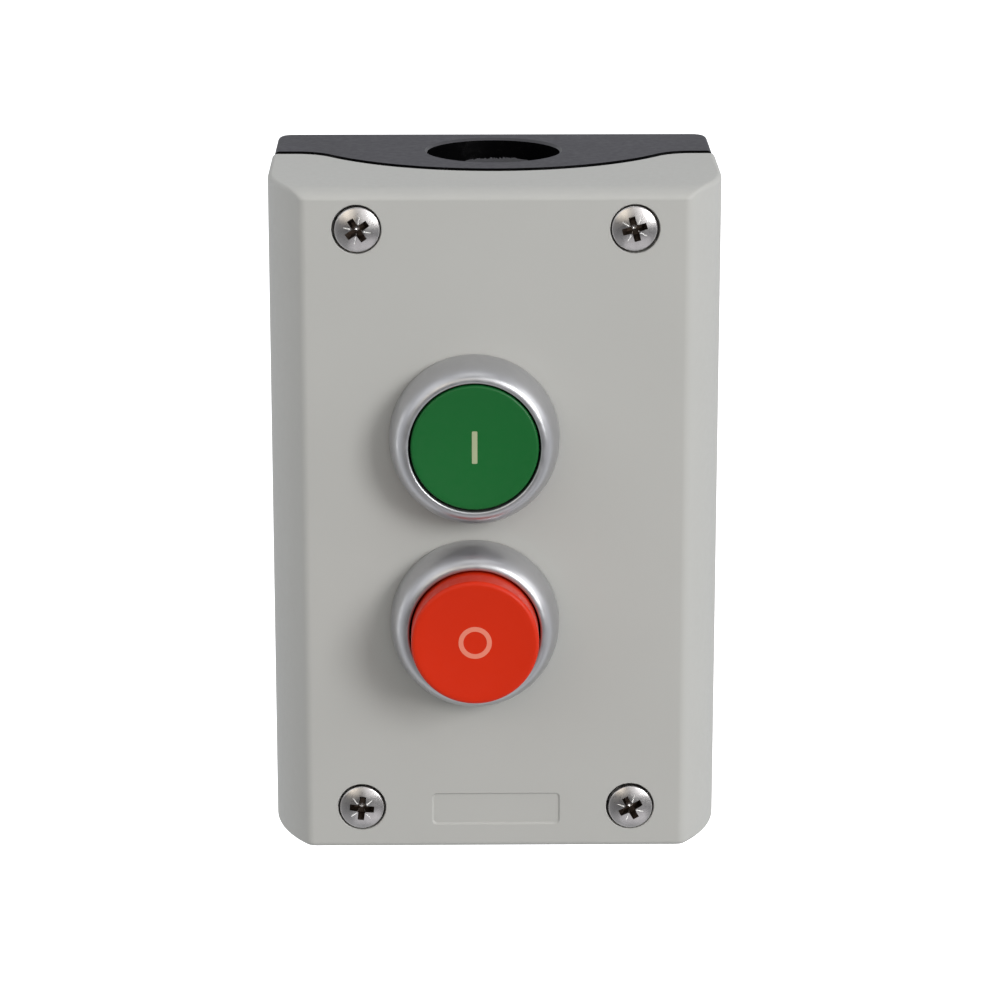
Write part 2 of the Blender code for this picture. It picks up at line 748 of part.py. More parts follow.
def make_stop_cap(place, plastic):
    """Extended button plate: a cup that stands proud of its ring."""
    face = STOP_CAP_FACE
    inner = CAP_RADIUS - STOP_CAP_WALL
    roof = face - STOP_CAP_WALL
    profile = [
        (0.0, roof),
        (inner, roof),
        (inner, CAP_BACK),
        (CAP_RADIUS, CAP_BACK),
        (CAP_RADIUS, face - CAP_ROUNDING),
        (CAP_RADIUS - CAP_ROUNDING * 0.3, face - CAP_ROUNDING * 0.3),
        (CAP_RADIUS - CAP_ROUNDING, face),
        (0.0, face),
    ]
    return turned("stop_cap", profile, plastic, place, steps=36)


def make_plunger(name, place, top, plastic):
    """Slider that carries the cap: a piston in the collar and a rod that works the contact block."""
    profile = [
        (0.0, PLUNGER_END),
        (PLUNGER_ROD_RADIUS, PLUNGER_END),
        (PLUNGER_ROD_RADIUS, PLUNGER_SHOULDER),
        (PLUNGER_RADIUS, PLUNGER_SHOULDER),
        (PLUNGER_RADIUS, top),
        (0.0, top),
    ]
    return turned(name, profile, plastic, place, steps=24)


def make_return_spring(name, place, steel):
    """Return spring between the collar's ledge and the plunger's shoulder."""
    mean_radius, wire_radius, turns = RETURN_SPRING
    low = COLLAR_LEDGE + SPRING_GAP
    high = PLUNGER_SHOULDER - SPRING_GAP
    return coil(name, mean_radius, wire_radius, turns, low, high, steel, place)


# ---------------------------------------------------------------- contact block pieces

def make_block_housing(name, x, z, plastic):
    """Moulded block: a centre chamber, two terminal chambers, and holes for stem, screwdriver and wires."""
    half_w, half_l = BLOCK_WIDTH / 2.0, BLOCK_LENGTH / 2.0
    place = (x, 0.0, z)
    housing = block(name, (-half_w, -BLOCK_FRONT, -half_l), (half_w, -BLOCK_BACK, half_l), plastic, place)
    left, right = -half_w + BLOCK_SIDE_WALL, half_w + OVERRUN
    back, front = BLOCK_BACK + BLOCK_WALL, BLOCK_FRONT - BLOCK_WALL
    tools = [
        block("centre", (left, -front, -CENTRE_CHAMBER), (right, -back, CENTRE_CHAMBER), plastic, place),
        block(
            "rebate",
            (half_w - PLATE_THICKNESS - PLATE_GAP, -front - PLATE_REBATE, -half_l + PLATE_EDGE),
            (right, -back + PLATE_REBATE, half_l - PLATE_EDGE),
            plastic,
            place,
        ),
        rod("stem", STEM_HOLE, -BLOCK_FRONT - OVERRUN, -front + OVERRUN, "Y", plastic, steps=14),
    ]
    tools[-1].location = housing.location
    inner, outer = TERMINAL_CHAMBER
    slit = (NO_STRIP_DEPTH - SLIT_MARGIN, NC_STRIP_DEPTH + SLIT_MARGIN)
    for side in (-1.0, 1.0):
        low_z, high_z = sorted((side * inner, side * outer))
        tools.append(block("chamber", (left, -front, low_z), (right, -back, high_z), plastic, place))
        low_z, high_z = sorted((side * (CENTRE_CHAMBER - WALL_OVERLAP), side * (inner + WALL_OVERLAP)))
        tools.append(block("slit", (left, -slit[1], low_z), (right, -slit[0], high_z), plastic, place))
        driver = rod(
            "driver", TERMINAL_ACCESS_RADIUS, -BLOCK_FRONT - OVERRUN, -front + OVERRUN, "Y", plastic,
            (0.0, side * TERMINAL_Z), steps=16,
        )
        driver.location = housing.location
        tools.append(driver)
        low_z, high_z = sorted((side * (outer - WALL_OVERLAP), side * (half_l + OVERRUN)))
        width, height = WIRE_ENTRY
        middle = NC_STRIP_DEPTH + WIRE_ENTRY_RISE
        low, high = (-width / 2.0, -middle - height, low_z), (width / 2.0, -middle, high_z)
        tools.append(block("wire", low, high, plastic, place))
    for tool in tools:
        cut(housing, tool)
    return housing


def make_side_plate(name, x, z, plastic):
    """Lid over the block's open side."""
    half_w, half_l = BLOCK_WIDTH / 2.0, BLOCK_LENGTH / 2.0
    back, front = BLOCK_BACK + BLOCK_WALL - PLATE_REBATE, BLOCK_FRONT - BLOCK_WALL + PLATE_REBATE
    edge = half_l - PLATE_EDGE - PLATE_GAP
    return block(
        name,
        (half_w - PLATE_THICKNESS, -front + PLATE_GAP, -edge),
        (half_w, -back - PLATE_GAP, edge),
        plastic,
        (x, 0.0, z),
    )


def make_stem(name, x, z, bridge_depth, plastic):
    """Stem of the block: push rod in front, a window collar at the bridge and a tail inside the spring."""
    shoulder = bridge_depth - BRIDGE_THICKNESS / 2.0 - PIECE_GAP
    step = bridge_depth + BRIDGE_THICKNESS / 2.0 + PIECE_GAP
    collar = shoulder - STEM_COLLAR_HEIGHT
    profile = [
        (0.0, collar - STEM_TAIL),
        (STEM_NECK_RADIUS, collar - STEM_TAIL),
        (STEM_NECK_RADIUS, collar),
        (STEM_COLLAR_RADIUS, collar),
        (STEM_COLLAR_RADIUS, shoulder),
        (STEM_NECK_RADIUS, shoulder),
        (STEM_NECK_RADIUS, step),
        (STEM_RADIUS, step),
        (STEM_RADIUS, STEM_TOP),
        (0.0, STEM_TOP),
    ]
    return turned(name, profile, plastic, (x, 0.0, z), steps=14)


def make_bridge(name, x, z, bridge_depth, side, brass):
    """Moving contact bar with two tips, which face the wall where side is +1 and the front where it is -1."""
    half_t = BRIDGE_THICKNESS / 2.0
    place = (x, 0.0, z)
    bridge = block(
        name,
        (-BRIDGE_WIDTH / 2.0, -bridge_depth - half_t, -BRIDGE_LENGTH / 2.0),
        (BRIDGE_WIDTH / 2.0, -bridge_depth + half_t, BRIDGE_LENGTH / 2.0),
        brass,
        place,
    )
    front, back = -bridge_depth - BRIDGE_THICKNESS, -bridge_depth + BRIDGE_THICKNESS
    hole = rod("hole", BRIDGE_HOLE_RADIUS, front, back, "Y", brass, steps=12)
    hole.location = bridge.location
    cut(bridge, hole)
    for end in (-1.0, 1.0):
        root, point = side * half_t / 2.0, side * (half_t + TIP_HEIGHT)
        near, far = sorted((-bridge_depth + root, -bridge_depth + point))
        tip = rod("tip", TIP_RADIUS, near, far, "Y", brass, (0.0, end * TIP_Z), steps=10)
        tip.location = bridge.location
        join(bridge, tip)
    return bridge


def make_terminal(name, x, z, end, strip_depth, side, brass):
    """Fixed contact strip with its tip and screw hole: side is +1 when the tip faces the front."""
    half_t = STRIP_THICKNESS / 2.0
    inner, outer = STRIP_SPAN
    low_z, high_z = sorted((end * inner, end * outer))
    strip = block(
        name,
        (-STRIP_WIDTH / 2.0, -strip_depth - half_t, low_z),
        (STRIP_WIDTH / 2.0, -strip_depth + half_t, high_z),
        brass,
        (x, 0.0, z),
    )
    near, far = sorted((-strip_depth - side * half_t / 2.0, -strip_depth - side * (half_t + TIP_HEIGHT)))
    tip = rod("tip", TIP_RADIUS, near, far, "Y", brass, (0.0, end * TIP_Z), steps=10)
    tip.location = strip.location
    join(strip, tip)
    front, back = -strip_depth - STRIP_THICKNESS, -strip_depth + STRIP_THICKNESS
    hole = rod("hole", TERMINAL_HOLE_RADIUS, front, back, "Y", brass, (0.0, end * TERMINAL_Z), steps=12)
    hole.location = strip.location
    return cut(strip, hole)


def make_clamp(name, x, z, end, strip_depth, steel):
    """Square clamping washer on the strip."""
    low = strip_depth + STRIP_THICKNESS / 2.0 + PIECE_GAP
    high = low + CLAMP_THICKNESS
    half = CLAMP_SIZE / 2.0
    centre_z = end * TERMINAL_Z
    clamp = block(
        name, (-half, -high, centre_z - half), (half, -low, centre_z + half), steel, (x, 0.0, z)
    )
    front, back = -high - OVERRUN, -low + OVERRUN
    hole = rod("hole", TERMINAL_HOLE_RADIUS, front, back, "Y", steel, (0.0, centre_z), steps=12)
    hole.location = clamp.location
    return cut(clamp, hole)


def make_terminal_screw(name, x, z, end, strip_depth, steel):
    """Slotted clamping screw of a terminal."""
    seat = strip_depth + STRIP_THICKNESS / 2.0 + 2.0 * PIECE_GAP + CLAMP_THICKNESS
    top = seat + TERMINAL_HEAD_HEIGHT
    tip = strip_depth - TERMINAL_SHANK_LENGTH
    profile = [
        (0.0, tip),
        (TERMINAL_SHANK_RADIUS, tip),
        (TERMINAL_SHANK_RADIUS, seat),
        (TERMINAL_HEAD_RADIUS, seat),
        (TERMINAL_HEAD_RADIUS, top),
        (0.0, top),
    ]
    screw = turned(name, profile, steel, (x, 0.0, z + end * TERMINAL_Z), steps=14)
    slot_width, slot_depth = TERMINAL_SLOT
    slot = block(
        "slot",
        (-slot_width / 2.0, -top - OVERRUN, -TERMINAL_HEAD_RADIUS - OVERRUN),
        (slot_width / 2.0, -top + slot_depth, TERMINAL_HEAD_RADIUS + OVERRUN),
        steel,
    )
    slot.location = screw.location
    return smooth(cut(screw, slot))


def make_contact_block(prefix, z, bridge_depth, strip_depth, side, materials):
    """One contact block with all its pieces. side is +1 for normally open and -1 for normally closed."""
    x = BUTTON_X
    make_block_housing(f"{prefix}_block_housing", x, z, materials["block_grey"])
    make_side_plate(f"{prefix}_block_plate", x, z, materials["block_grey"])
    make_stem(f"{prefix}_stem", x, z, bridge_depth, materials["start_green" if side > 0 else "stop_red"])
    make_bridge(f"{prefix}_bridge", x, z, bridge_depth, side, materials["brass"])
    mean_radius, wire_radius = CONTACT_SPRING
    turns = NO_SPRING_TURNS if side > 0 else NC_SPRING_TURNS
    collar = bridge_depth - BRIDGE_THICKNESS / 2.0 - PIECE_GAP - STEM_COLLAR_HEIGHT
    coil(
        f"{prefix}_spring", mean_radius, wire_radius, turns, SPRING_SEAT, collar - SPRING_GAP,
        materials["spring_steel"], (x, 0.0, z),
    )
    for end, word in ((1.0, "upper"), (-1.0, "lower")):
        make_terminal(f"{prefix}_terminal_{word}", x, z, end, strip_depth, side, materials["brass"])
        make_clamp(f"{prefix}_clamp_{word}", x, z, end, strip_depth, materials["spring_steel"])
        make_terminal_screw(
            f"{prefix}_terminal_screw_{word}", x, z, end, strip_depth, materials["bright_steel"]
        )


# ---------------------------------------------------------------- assembly

def make_button(prefix, z, materials):
    """One push button: ring, seal, collar, nut, cap, plunger and spring."""
    place = (BUTTON_X, -DEPTH, z)
    make_bezel(f"{prefix}_bezel", place, materials["bezel_silver"])
    make_panel_seal(f"{prefix}_panel_seal", place, materials["seal_rubber"])
    make_collar(f"{prefix}_collar", place, materials["moulded_black"])
    make_ring_nut(f"{prefix}_ring_nut", place, materials["moulded_black"])
    if prefix == "start":
        make_start_cap(place, materials["start_green"])
        top = CAP_BACK - PIECE_GAP
    else:
        make_stop_cap(place, materials["stop_red"])
        top = STOP_CAP_FACE - STOP_CAP_WALL - PIECE_GAP
    make_plunger(f"{prefix}_plunger", place, top, materials["moulded_black"])
    make_return_spring(f"{prefix}_return_spring", place, materials["spring_steel"])


def main():
    for old in list(bpy.data.objects):
        bpy.data.objects.remove(old)
    materials = make_materials()
    make_base(materials["base_black"])
    make_cover(materials["cover_grey"])
    make_cover_seal(materials["seal_rubber"])
    for index, ((x, z), turn) in enumerate(zip(corner_places(), SCREW_TURNS), start=1):
        make_cover_screw(index, x, z, turn, materials["bright_steel"])
        make_screw_seal(index, x, z, materials["seal_rubber"])
    make_button("start", START_Z, materials)
    make_button("stop", STOP_Z, materials)
    make_contact_block("start", START_Z, NO_BRIDGE_DEPTH, NO_STRIP_DEPTH, 1.0, materials)
    make_contact_block("stop", STOP_Z, NC_BRIDGE_DEPTH, NC_STRIP_DEPTH, -1.0, materials)


main()
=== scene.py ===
"""Looks of the two-button control station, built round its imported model.

The shapes are drawn in millimetres, as the real parts are dimensioned, and turned into metres when a
piece is made. Heights and places come from the frame. Front is -Y and up is +Z.
"""
import json
import math
import random

import bmesh
import bpy
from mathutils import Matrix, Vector


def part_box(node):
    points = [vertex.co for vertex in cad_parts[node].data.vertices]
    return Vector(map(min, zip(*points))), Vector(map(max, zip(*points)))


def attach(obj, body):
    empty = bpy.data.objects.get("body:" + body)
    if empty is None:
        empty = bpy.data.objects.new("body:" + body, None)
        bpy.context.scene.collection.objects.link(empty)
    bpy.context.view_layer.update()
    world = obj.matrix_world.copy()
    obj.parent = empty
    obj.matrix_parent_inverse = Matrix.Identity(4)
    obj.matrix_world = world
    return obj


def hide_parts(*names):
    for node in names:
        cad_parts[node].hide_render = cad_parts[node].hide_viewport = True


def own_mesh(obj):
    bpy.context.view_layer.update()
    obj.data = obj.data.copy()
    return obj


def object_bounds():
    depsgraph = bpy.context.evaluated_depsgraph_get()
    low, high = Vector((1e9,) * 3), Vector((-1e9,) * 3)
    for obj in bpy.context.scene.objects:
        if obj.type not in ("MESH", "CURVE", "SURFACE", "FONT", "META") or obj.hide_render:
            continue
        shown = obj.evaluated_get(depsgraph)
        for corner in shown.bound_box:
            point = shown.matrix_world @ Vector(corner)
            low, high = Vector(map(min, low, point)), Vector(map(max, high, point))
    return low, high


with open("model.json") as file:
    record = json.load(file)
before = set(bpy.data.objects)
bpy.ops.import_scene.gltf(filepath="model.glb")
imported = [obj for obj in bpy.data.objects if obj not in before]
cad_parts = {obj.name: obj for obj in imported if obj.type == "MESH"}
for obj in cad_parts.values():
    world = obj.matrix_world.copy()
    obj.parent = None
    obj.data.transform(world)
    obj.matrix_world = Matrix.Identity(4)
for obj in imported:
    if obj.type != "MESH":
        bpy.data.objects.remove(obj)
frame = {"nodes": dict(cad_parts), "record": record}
CAD_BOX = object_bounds()

MM = 0.001


def box_mm(node):
    """Lowest and highest corner of a CAD node, in millimetres."""
    low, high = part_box(node)
    return low / MM, high / MM


def centre_mm(node):
    """Middle of a CAD node's box, in millimetres."""
    low, high = box_mm(node)
    return (low + high) / 2.0


# ---------------------------------------------------------------- sizes

COVER_LOW, COVER_HIGH = box_mm("cover")
WIDTH = COVER_HIGH.x - COVER_LOW.x
HEIGHT = COVER_HIGH.z - COVER_LOW.z
DEPTH = -COVER_LOW.y

# Enclosure shells
WALL = 2.6
FRONT_WALL = 3.0
FLOOR = 2.6
BASE_INSET = 0.25
SIDE_CURVE_START = 38.0
SIDE_CURVE_RADIUS = 28.5
SIDE_CURVE_STEPS = 12
TOP_FRONT_HEIGHT = 1.8
TOP_FRONT_DEPTH = 5.3
EDGE_ROUNDING = 0.9
ROUNDING_STEPS = 10
BACK_CORNER = 2.2
FRONT_EDGE_ROUNDING = 1.0
FRONT_EDGE_STEPS = 7
OVERRUN = 1.0
ROUND_STEPS = 96
SMALLEST_RADIUS = 1e-6

# Parting line: flat at the sides, bulging forward round the cable entries
PARTING_DEPTH = 20.9
BULGE_DEPTH = 37.9
BULGE_RADIUS = 38.0
BULGE_BLEND = 8.0
BULGE_STEPS = 26
BLEND_STEPS = 8
PARTING_GAP = 0.4
REBATE_WIDTH = 3.7
REBATE_DEPTH = 0.9
GROOVE_INSET = (1.0, 2.1)
GROOVE_DEPTH = 1.0

# Cable entries
ENTRY_DEPTH = 16.0
ENTRY_RADIUS = 12.07
ENTRY_CHAMFER = 0.42
ENTRY_COLLAR_RADIUS = 13.7
ENTRY_COLLAR_END = 52.0
ENTRY_STEPS = 120
ENTRY_COLLAR_STEPS = 72
KNOCKOUT_SKIN = 0.9

# Remains of the knocked-out skin in the open entry
FLASH_SEED = 5
FLASH_ARC = (-119.0, -55.0)
FLASH_STEPS = 48
FLASH_REACH = 3.6
FLASH_LEAST = 0.72
FLASH_SWELL = 0.35
FLASH_ROOT = 0.4
FLASH_RISE = 0.75
FLASH_SINK = 0.05
FLASH_THICKNESS = 0.45

# Wall-fixing slots and contact block seats in the floor
FIXING_Z = 47.0
FIXING_RADIUS = 2.4
FIXING_TRAVEL = 4.0
FIXING_LAND_RADIUS = 5.2
FIXING_LAND_DEPTH = 0.8
FIXING_END_STEPS = 24
SEAT_HALF_LENGTH = 13.44
SEAT_HALF_WIDTH = 5.0
SEAT_TOP = 3.65

# Blank sunk label field
LABEL_WIDTH = 23.0
LABEL_SPAN = (-55.8, -49.8)
LABEL_DEPTH = 0.3
LABEL_CORNER = 1.0
LABEL_SLOPE = 0.35
CORNER_STEPS = 6

# Cover screws
SCREW_PLACES = [centre_mm(f"cover_screw_{i}") for i in (1, 2, 3, 4)]
SCREW_TURNS = (-34.0, -15.0, 6.0, -28.0)
SCREW_SHIFTS = ((0.14, 0.0), (-0.10, 0.10), (0.0, 0.0), (0.10, -0.10))
BOSS_RADIUS = 4.0
BOSS_TOP = 22.0
SLEEVE_END = 22.4
SLEEVE_BORE = 2.4
COUNTERBORE_RADIUS = 4.3
COUNTERBORE_DEPTH = 2.4
COUNTERBORE_EDGE = 0.12
COUNTERBORE_STEPS = 80
PILOT_RADIUS = 2.2
PILOT_END = 7.0
HEAD_RADIUS = 3.95
HEAD_SEAT = 1.6
HEAD_RIM = 0.2
HEAD_CROWN = 0.75
HEAD_CROWN_STEPS = 14
HEAD_LOWER_ROUNDING = 0.2
HEAD_UPPER_ROUNDING = 0.22
HEAD_STEPS = 64
HEAD_SMOOTH_ANGLE = 30.0
SHANK_RADIUS = 1.9
THREAD_PITCH = 1.3
THREAD_DEPTH = 0.32
THREAD_SHARES = (0.35, 0.5, 0.6, 0.75)
THREAD_TOP = 22.0
RUNOUT = (22.6, 23.0)
SCREW_TIP = 9.0
TIP_SHARE = 0.6
TIP_LENGTH = 1.2
SAME_POINT = 1e-4

# Recess of the screws, heights from the rim's level: arms as half length and half width
RECESS_ABOVE = 0.6
RECESS_FLOOR = -1.0
RECESS_MOUTH = (2.62, 0.66)
RECESS_END = (1.3, 0.40)
RECESS_POINT = ((0.0, -1.5), (0.55, -0.9))
RECESS_CONE = 1.12
RECESS_CONE_STEPS = 24
TICK_ENDS = ((1.15, 0.42), (2.45, 0.30))
TICK_ABOVE = 0.4
TICK_HALF_WIDTH = 0.34

# Buttons, heights measured forward from the front face
BUTTON_CENTRES = {name: centre_mm(f"{name}_bezel") for name in ("start", "stop")}
HOLE_RADIUS = 11.25
HOLE_STEPS = 80
KEY_WIDTH = 3.2
KEY_REACH = 1.4
BEZEL_RADIUS = 14.9
BEZEL_MOUTH = 11.5
BEZEL_LIP = 11.95
BEZEL_SHOULDER = 1.2
BEZEL_CROWN_STEPS = 28
BEZEL_LIP_ROUNDING = 0.34
BEZEL_LIP_STEPS = 6
BEZEL_FOOT_CHAMFER = 0.15
BEZEL_STEPS = 160
BEZEL_HEIGHT = 8.25
BEZEL_BASE = 0.3
BEZEL_SKIRT = 14.3
BEZEL_SKIRT_TOP = 2.1
CAP_RADIUS = 11.15
CAP_BACK = 6.2
START_CAP_FACE = 8.05
STOP_CAP_FACE = 13.8
CAP_STEPS = 144
CAP_FOOT_ROUNDING = 0.2
START_CAP_ROUNDING = 0.5
START_CAP_ROUNDING_STEPS = 7
STOP_CAP_ROUNDING = 0.8
STOP_CAP_ROUNDING_STEPS = 8
STOP_CAP_WALL = 1.8
CAP_DISH = 0.5
DISH_STEPS = 16
MARK_POCKET = 0.14
MARK_PROUD = 0.05
MARK_BED = 0.01
MARK_HALF_HEIGHT = 2.9
MARK_STEPS = 72
BAR_WIDTH = 0.95
BAR_CORNER = 0.2
RING_BORE = 2.05

# Springs, wire radius and number of turns
SPRING_STEPS_PER_TURN = 40
SPRING_WIRE_SIDES = 12
SPRING_CLOSED_TURN = 0.5
RETURN_WIRE = 0.4
RETURN_TURNS = 4.0
CONTACT_WIRE = 0.24
CONTACT_TURNS = {"start": 4.5, "stop": 2.5}

# Carried-over pieces, in metres and degrees
WELD_DISTANCE = 0.000001
SOFT_EDGE = 0.00012
SOFT_EDGE_ANGLE = 40.0


# ---------------------------------------------------------------- materials

NO_STRETCH = (1.0, 1.0, 1.0)
NOISE_RANGE = (0.3, 0.7)
MOULDED_TONE = (38.0, 2.0)
MOULDED_GLOSS = (900.0, 4.0)
METAL_TONE = (260.0, 3.0)
METAL_GLOSS = (700.0, 3.0)
GRAIN_DETAIL = 4.0
GLOSS_SWING = 0.05
METAL_GLOSS_SWING = 0.06


def principled(name, colour, roughness, metallic=0.0, **sockets):
    """A Principled material with its node tree and its shader node."""
    material = bpy.data.materials.new(name)
    material.use_nodes = True
    tree = material.node_tree
    shader = tree.nodes["Principled BSDF"]
    shader.inputs["Base Color"].default_value = (*colour, 1.0)
    shader.inputs["Roughness"].default_value = roughness
    shader.inputs["Metallic"].default_value = metallic
    for socket, value in sockets.items():
        shader.inputs[socket.replace("_", " ")].default_value = value
    material.diffuse_color = (*colour, 1.0)
    return material, tree, shader


def noise(tree, scale, detail, stretch=NO_STRETCH):
    """Noise over the piece's own coordinates, in features per metre."""
    place = tree.nodes.new("ShaderNodeTexCoord")
    mapping = tree.nodes.new("ShaderNodeMapping")
    mapping.inputs["Scale"].default_value = stretch
    texture = tree.nodes.new("ShaderNodeTexNoise")
    texture.inputs["Scale"].default_value = scale
    texture.inputs["Detail"].default_value = detail
    tree.links.new(place.outputs["Object"], mapping.inputs["Vector"])
    tree.links.new(mapping.outputs["Vector"], texture.inputs["Vector"])
    return texture.outputs["Fac"]


def spread(tree, source, low, high):
    """Maps noise, which keeps mostly to the middle of its range, to the range asked for."""
    node = tree.nodes.new("ShaderNodeMapRange")
    node.inputs["From Min"].default_value = NOISE_RANGE[0]
    node.inputs["From Max"].default_value = NOISE_RANGE[1]
    node.inputs["To Min"].default_value = low
    node.inputs["To Max"].default_value = high
    tree.links.new(source, node.inputs["Value"])
    return node.outputs["Result"]


def tinted(tree, shader, factor, dark, light):
    """Base colour that drifts between two close tones."""
    mix = tree.nodes.new("ShaderNodeMix")
    mix.data_type = "RGBA"
    mix.inputs["A"].default_value = (*dark, 1.0)
    mix.inputs["B"].default_value = (*light, 1.0)
    tree.links.new(factor, mix.inputs["Factor"])
    tree.links.new(mix.outputs["Result"], shader.inputs["Base Color"])


def bumped(tree, shader, height, distance):
    """Surface relief of the given height in metres."""
    bump = tree.nodes.new("ShaderNodeBump")
    bump.inputs["Strength"].default_value = 1.0
    bump.inputs["Distance"].default_value = distance
    tree.links.new(height, bump.inputs["Height"])
    tree.links.new(bump.outputs["Normal"], shader.inputs["Normal"])


def scaled(colour, factor):
    """A colour made darker or lighter."""
    return tuple(min(1.0, channel * factor) for channel in colour)


def moulded(name, colour, roughness, grain=5200.0, relief=0.000006, drift=0.03, **sockets):
    """Moulded plastic: fine eroded grain, slow drift of tone, and roughness that varies with both."""
    material, tree, shader = principled(name, colour, roughness, **sockets)
    tone = spread(tree, noise(tree, *MOULDED_TONE), 0.0, 1.0)
    tinted(tree, shader, tone, scaled(colour, 1.0 - drift), scaled(colour, 1.0 + drift))
    gloss = spread(tree, noise(tree, *MOULDED_GLOSS), roughness - GLOSS_SWING, roughness + GLOSS_SWING)
    tree.links.new(gloss, shader.inputs["Roughness"])
    bumped(tree, shader, noise(tree, grain, GRAIN_DETAIL), relief)
    return material


def metal(
    name, colour, roughness, grain=2600.0, relief=0.000002, stretch=NO_STRETCH, drift=0.06, metallic=1.0
):
    """Bare or plated metal: fine grain along its working direction and slightly uneven gloss."""
    material, tree, shader = principled(name, colour, roughness, metallic)
    tone = spread(tree, noise(tree, *METAL_TONE), 0.0, 1.0)
    tinted(tree, shader, tone, scaled(colour, 1.0 - drift), scaled(colour, 1.0 + drift))
    uneven = noise(tree, *METAL_GLOSS, stretch)
    gloss = spread(tree, uneven, roughness - GLOSS_SWING, roughness + METAL_GLOSS_SWING)
    tree.links.new(gloss, shader.inputs["Roughness"])
    bumped(tree, shader, noise(tree, grain, GRAIN_DETAIL, stretch), relief)
    return material


def make_materials():
    """Every material of the station, by the name of its slot."""
    return {
        "cover_plastic": moulded(
            "cover_plastic",
            (0.440, 0.438, 0.418),
            0.50,
            relief=0.000004,
            drift=0.012,
            Specular_IOR_Level=0.34,
        ),
        "base_plastic": moulded(
            "base_plastic", (0.036, 0.0345, 0.0425), 0.56, 3400.0, 0.000018, 0.15, Specular_IOR_Level=0.30
        ),
        "mouth_plastic": moulded("mouth_plastic", (0.034, 0.033, 0.038), 0.45, drift=0.1),
        # Near-black, far darker than the base's own plastic: painted shade on the walls of the parting rebate
        # and in the bore of the open entry.
        "painted_shade_black": moulded(
            "painted_shade_black", (0.0012, 0.0012, 0.0014), 0.24, 3000.0, 0.000004, 0.1, Specular_IOR_Level=0.16
        ),
        "torn_plastic": moulded("torn_plastic", (0.030, 0.029, 0.033), 0.80, 1400.0, 0.00016, 0.5),
        "seal_rubber": moulded("seal_rubber", (0.018, 0.018, 0.018), 0.75, 3000.0, 0.00001, 0.15),
        "screw_steel": metal("screw_steel", (0.56, 0.54, 0.535), 0.27, 1500.0, 0.000003, drift=0.14),
        # Dark brown steel for the arms of the screw recess: painted shade for how dark the deep recess looks.
        "recess_painted_shade": metal("recess_painted_shade", (0.10, 0.075, 0.06), 0.42, drift=0.3),
        "scored_steel": metal("scored_steel", (0.95, 0.94, 0.92), 0.50, drift=0.1, metallic=0.3),
        "bezel_metal": metal(
            "bezel_metal", (0.50, 0.50, 0.515), 0.35, 5200.0, 0.000001, drift=0.02, metallic=0.88
        ),
        "start_green": moulded(
            "start_green", (0.005, 0.110, 0.021), 0.42, 6000.0, 0.000003, 0.05, Specular_IOR_Level=0.3
        ),
        "stop_red": moulded(
            "stop_red", (0.575, 0.022, 0.003), 0.42, 6000.0, 0.000003, 0.03, Specular_IOR_Level=0.2
        ),
        "start_ink": moulded("start_ink", (0.33, 0.37, 0.22), 0.6, 7000.0, 0.000006, 0.08),
        "stop_ink": moulded("stop_ink", (0.70, 0.20, 0.13), 0.6, 7000.0, 0.000006, 0.08),
        "moulded_black": moulded("moulded_black", (0.030, 0.030, 0.032), 0.48, 4200.0, 0.000008, 0.1),
        "block_plastic": moulded("block_plastic", (0.22, 0.225, 0.23), 0.5, 4200.0, 0.000008, 0.04),
        "contact_brass": metal("contact_brass", (0.72, 0.53, 0.24), 0.30, 2600.0, 0.000003, (1.0, 1.0, 0.1)),
        "spring_steel": metal("spring_steel", (0.52, 0.52, 0.53), 0.28),
    }


MATERIALS = make_materials()


# ---------------------------------------------------------------- shape helpers

def add_piece(name, bm, material, location=(0.0, 0.0, 0.0)):
    """Turns a bmesh drawn in millimetres into an object in metres."""
    bmesh.ops.recalc_face_normals(bm, faces=bm.faces)
    bmesh.ops.scale(bm, vec=(MM, MM, MM), verts=bm.verts)
    mesh = bpy.data.meshes.new(name)
    bm.to_mesh(mesh)
    bm.free()
    mesh.materials.append(material)
    piece = bpy.data.objects.new(name, mesh)
    piece.location = Vector(location) * MM
    bpy.context.collection.objects.link(piece)
    return piece


def smooth(piece, angle=32.0):
    """Smooth shading that keeps real edges sharp and flat faces flat."""
    piece.data.shade_smooth()
    piece.data.set_sharp_from_angle(angle=math.radians(angle))
    normals = piece.modifiers.new("normals", "WEIGHTED_NORMAL")
    normals.keep_sharp = True
    normals.weight = 100
    return piece


def combine(piece, operation, *tools):
    """Applies exact Booleans with the given tool objects, then removes the tools."""
    bpy.context.view_layer.update()
    for tool in tools:
        modifier = piece.modifiers.new("shape", "BOOLEAN")
        modifier.operation = operation
        modifier.solver = "EXACT"
        modifier.material_mode = "TRANSFER"
        modifier.object = tool
    depsgraph = bpy.context.evaluated_depsgraph_get()
    shaped = bpy.data.meshes.new_from_object(piece.evaluated_get(depsgraph))
    rough = piece.data
    piece.modifiers.clear()
    piece.data = shaped
    bpy.data.meshes.remove(rough)
    for tool in tools:
        bpy.data.objects.remove(tool)
    return piece


def cut(piece, *tools):
    """Takes the tool objects away from a piece."""
    return combine(piece, "DIFFERENCE", *tools)


def join(piece, *tools):
    """Adds the tool objects to a piece as one solid."""
    return combine(piece, "UNION", *tools)


def prism(name, outline, low, high, axis, material, location=(0.0, 0.0, 0.0)):
    """Extrudes a closed outline along Y, where it is (x, z), or along Z, where it is (x, y)."""
    place = {"Y": lambda a, b, t: (a, t, b), "Z": lambda a, b, t: (a, b, t)}[axis]
    bm = bmesh.new()
    first = [bm.verts.new(place(a, b, low)) for a, b in outline]
    last = [bm.verts.new(place(a, b, high)) for a, b in outline]
    bm.faces.new(first)
    bm.faces.new(last)
    for i in range(len(outline)):
        j = (i + 1) % len(outline)
        bm.faces.new((first[i], first[j], last[j], last[i]))
    return add_piece(name, bm, material, location)


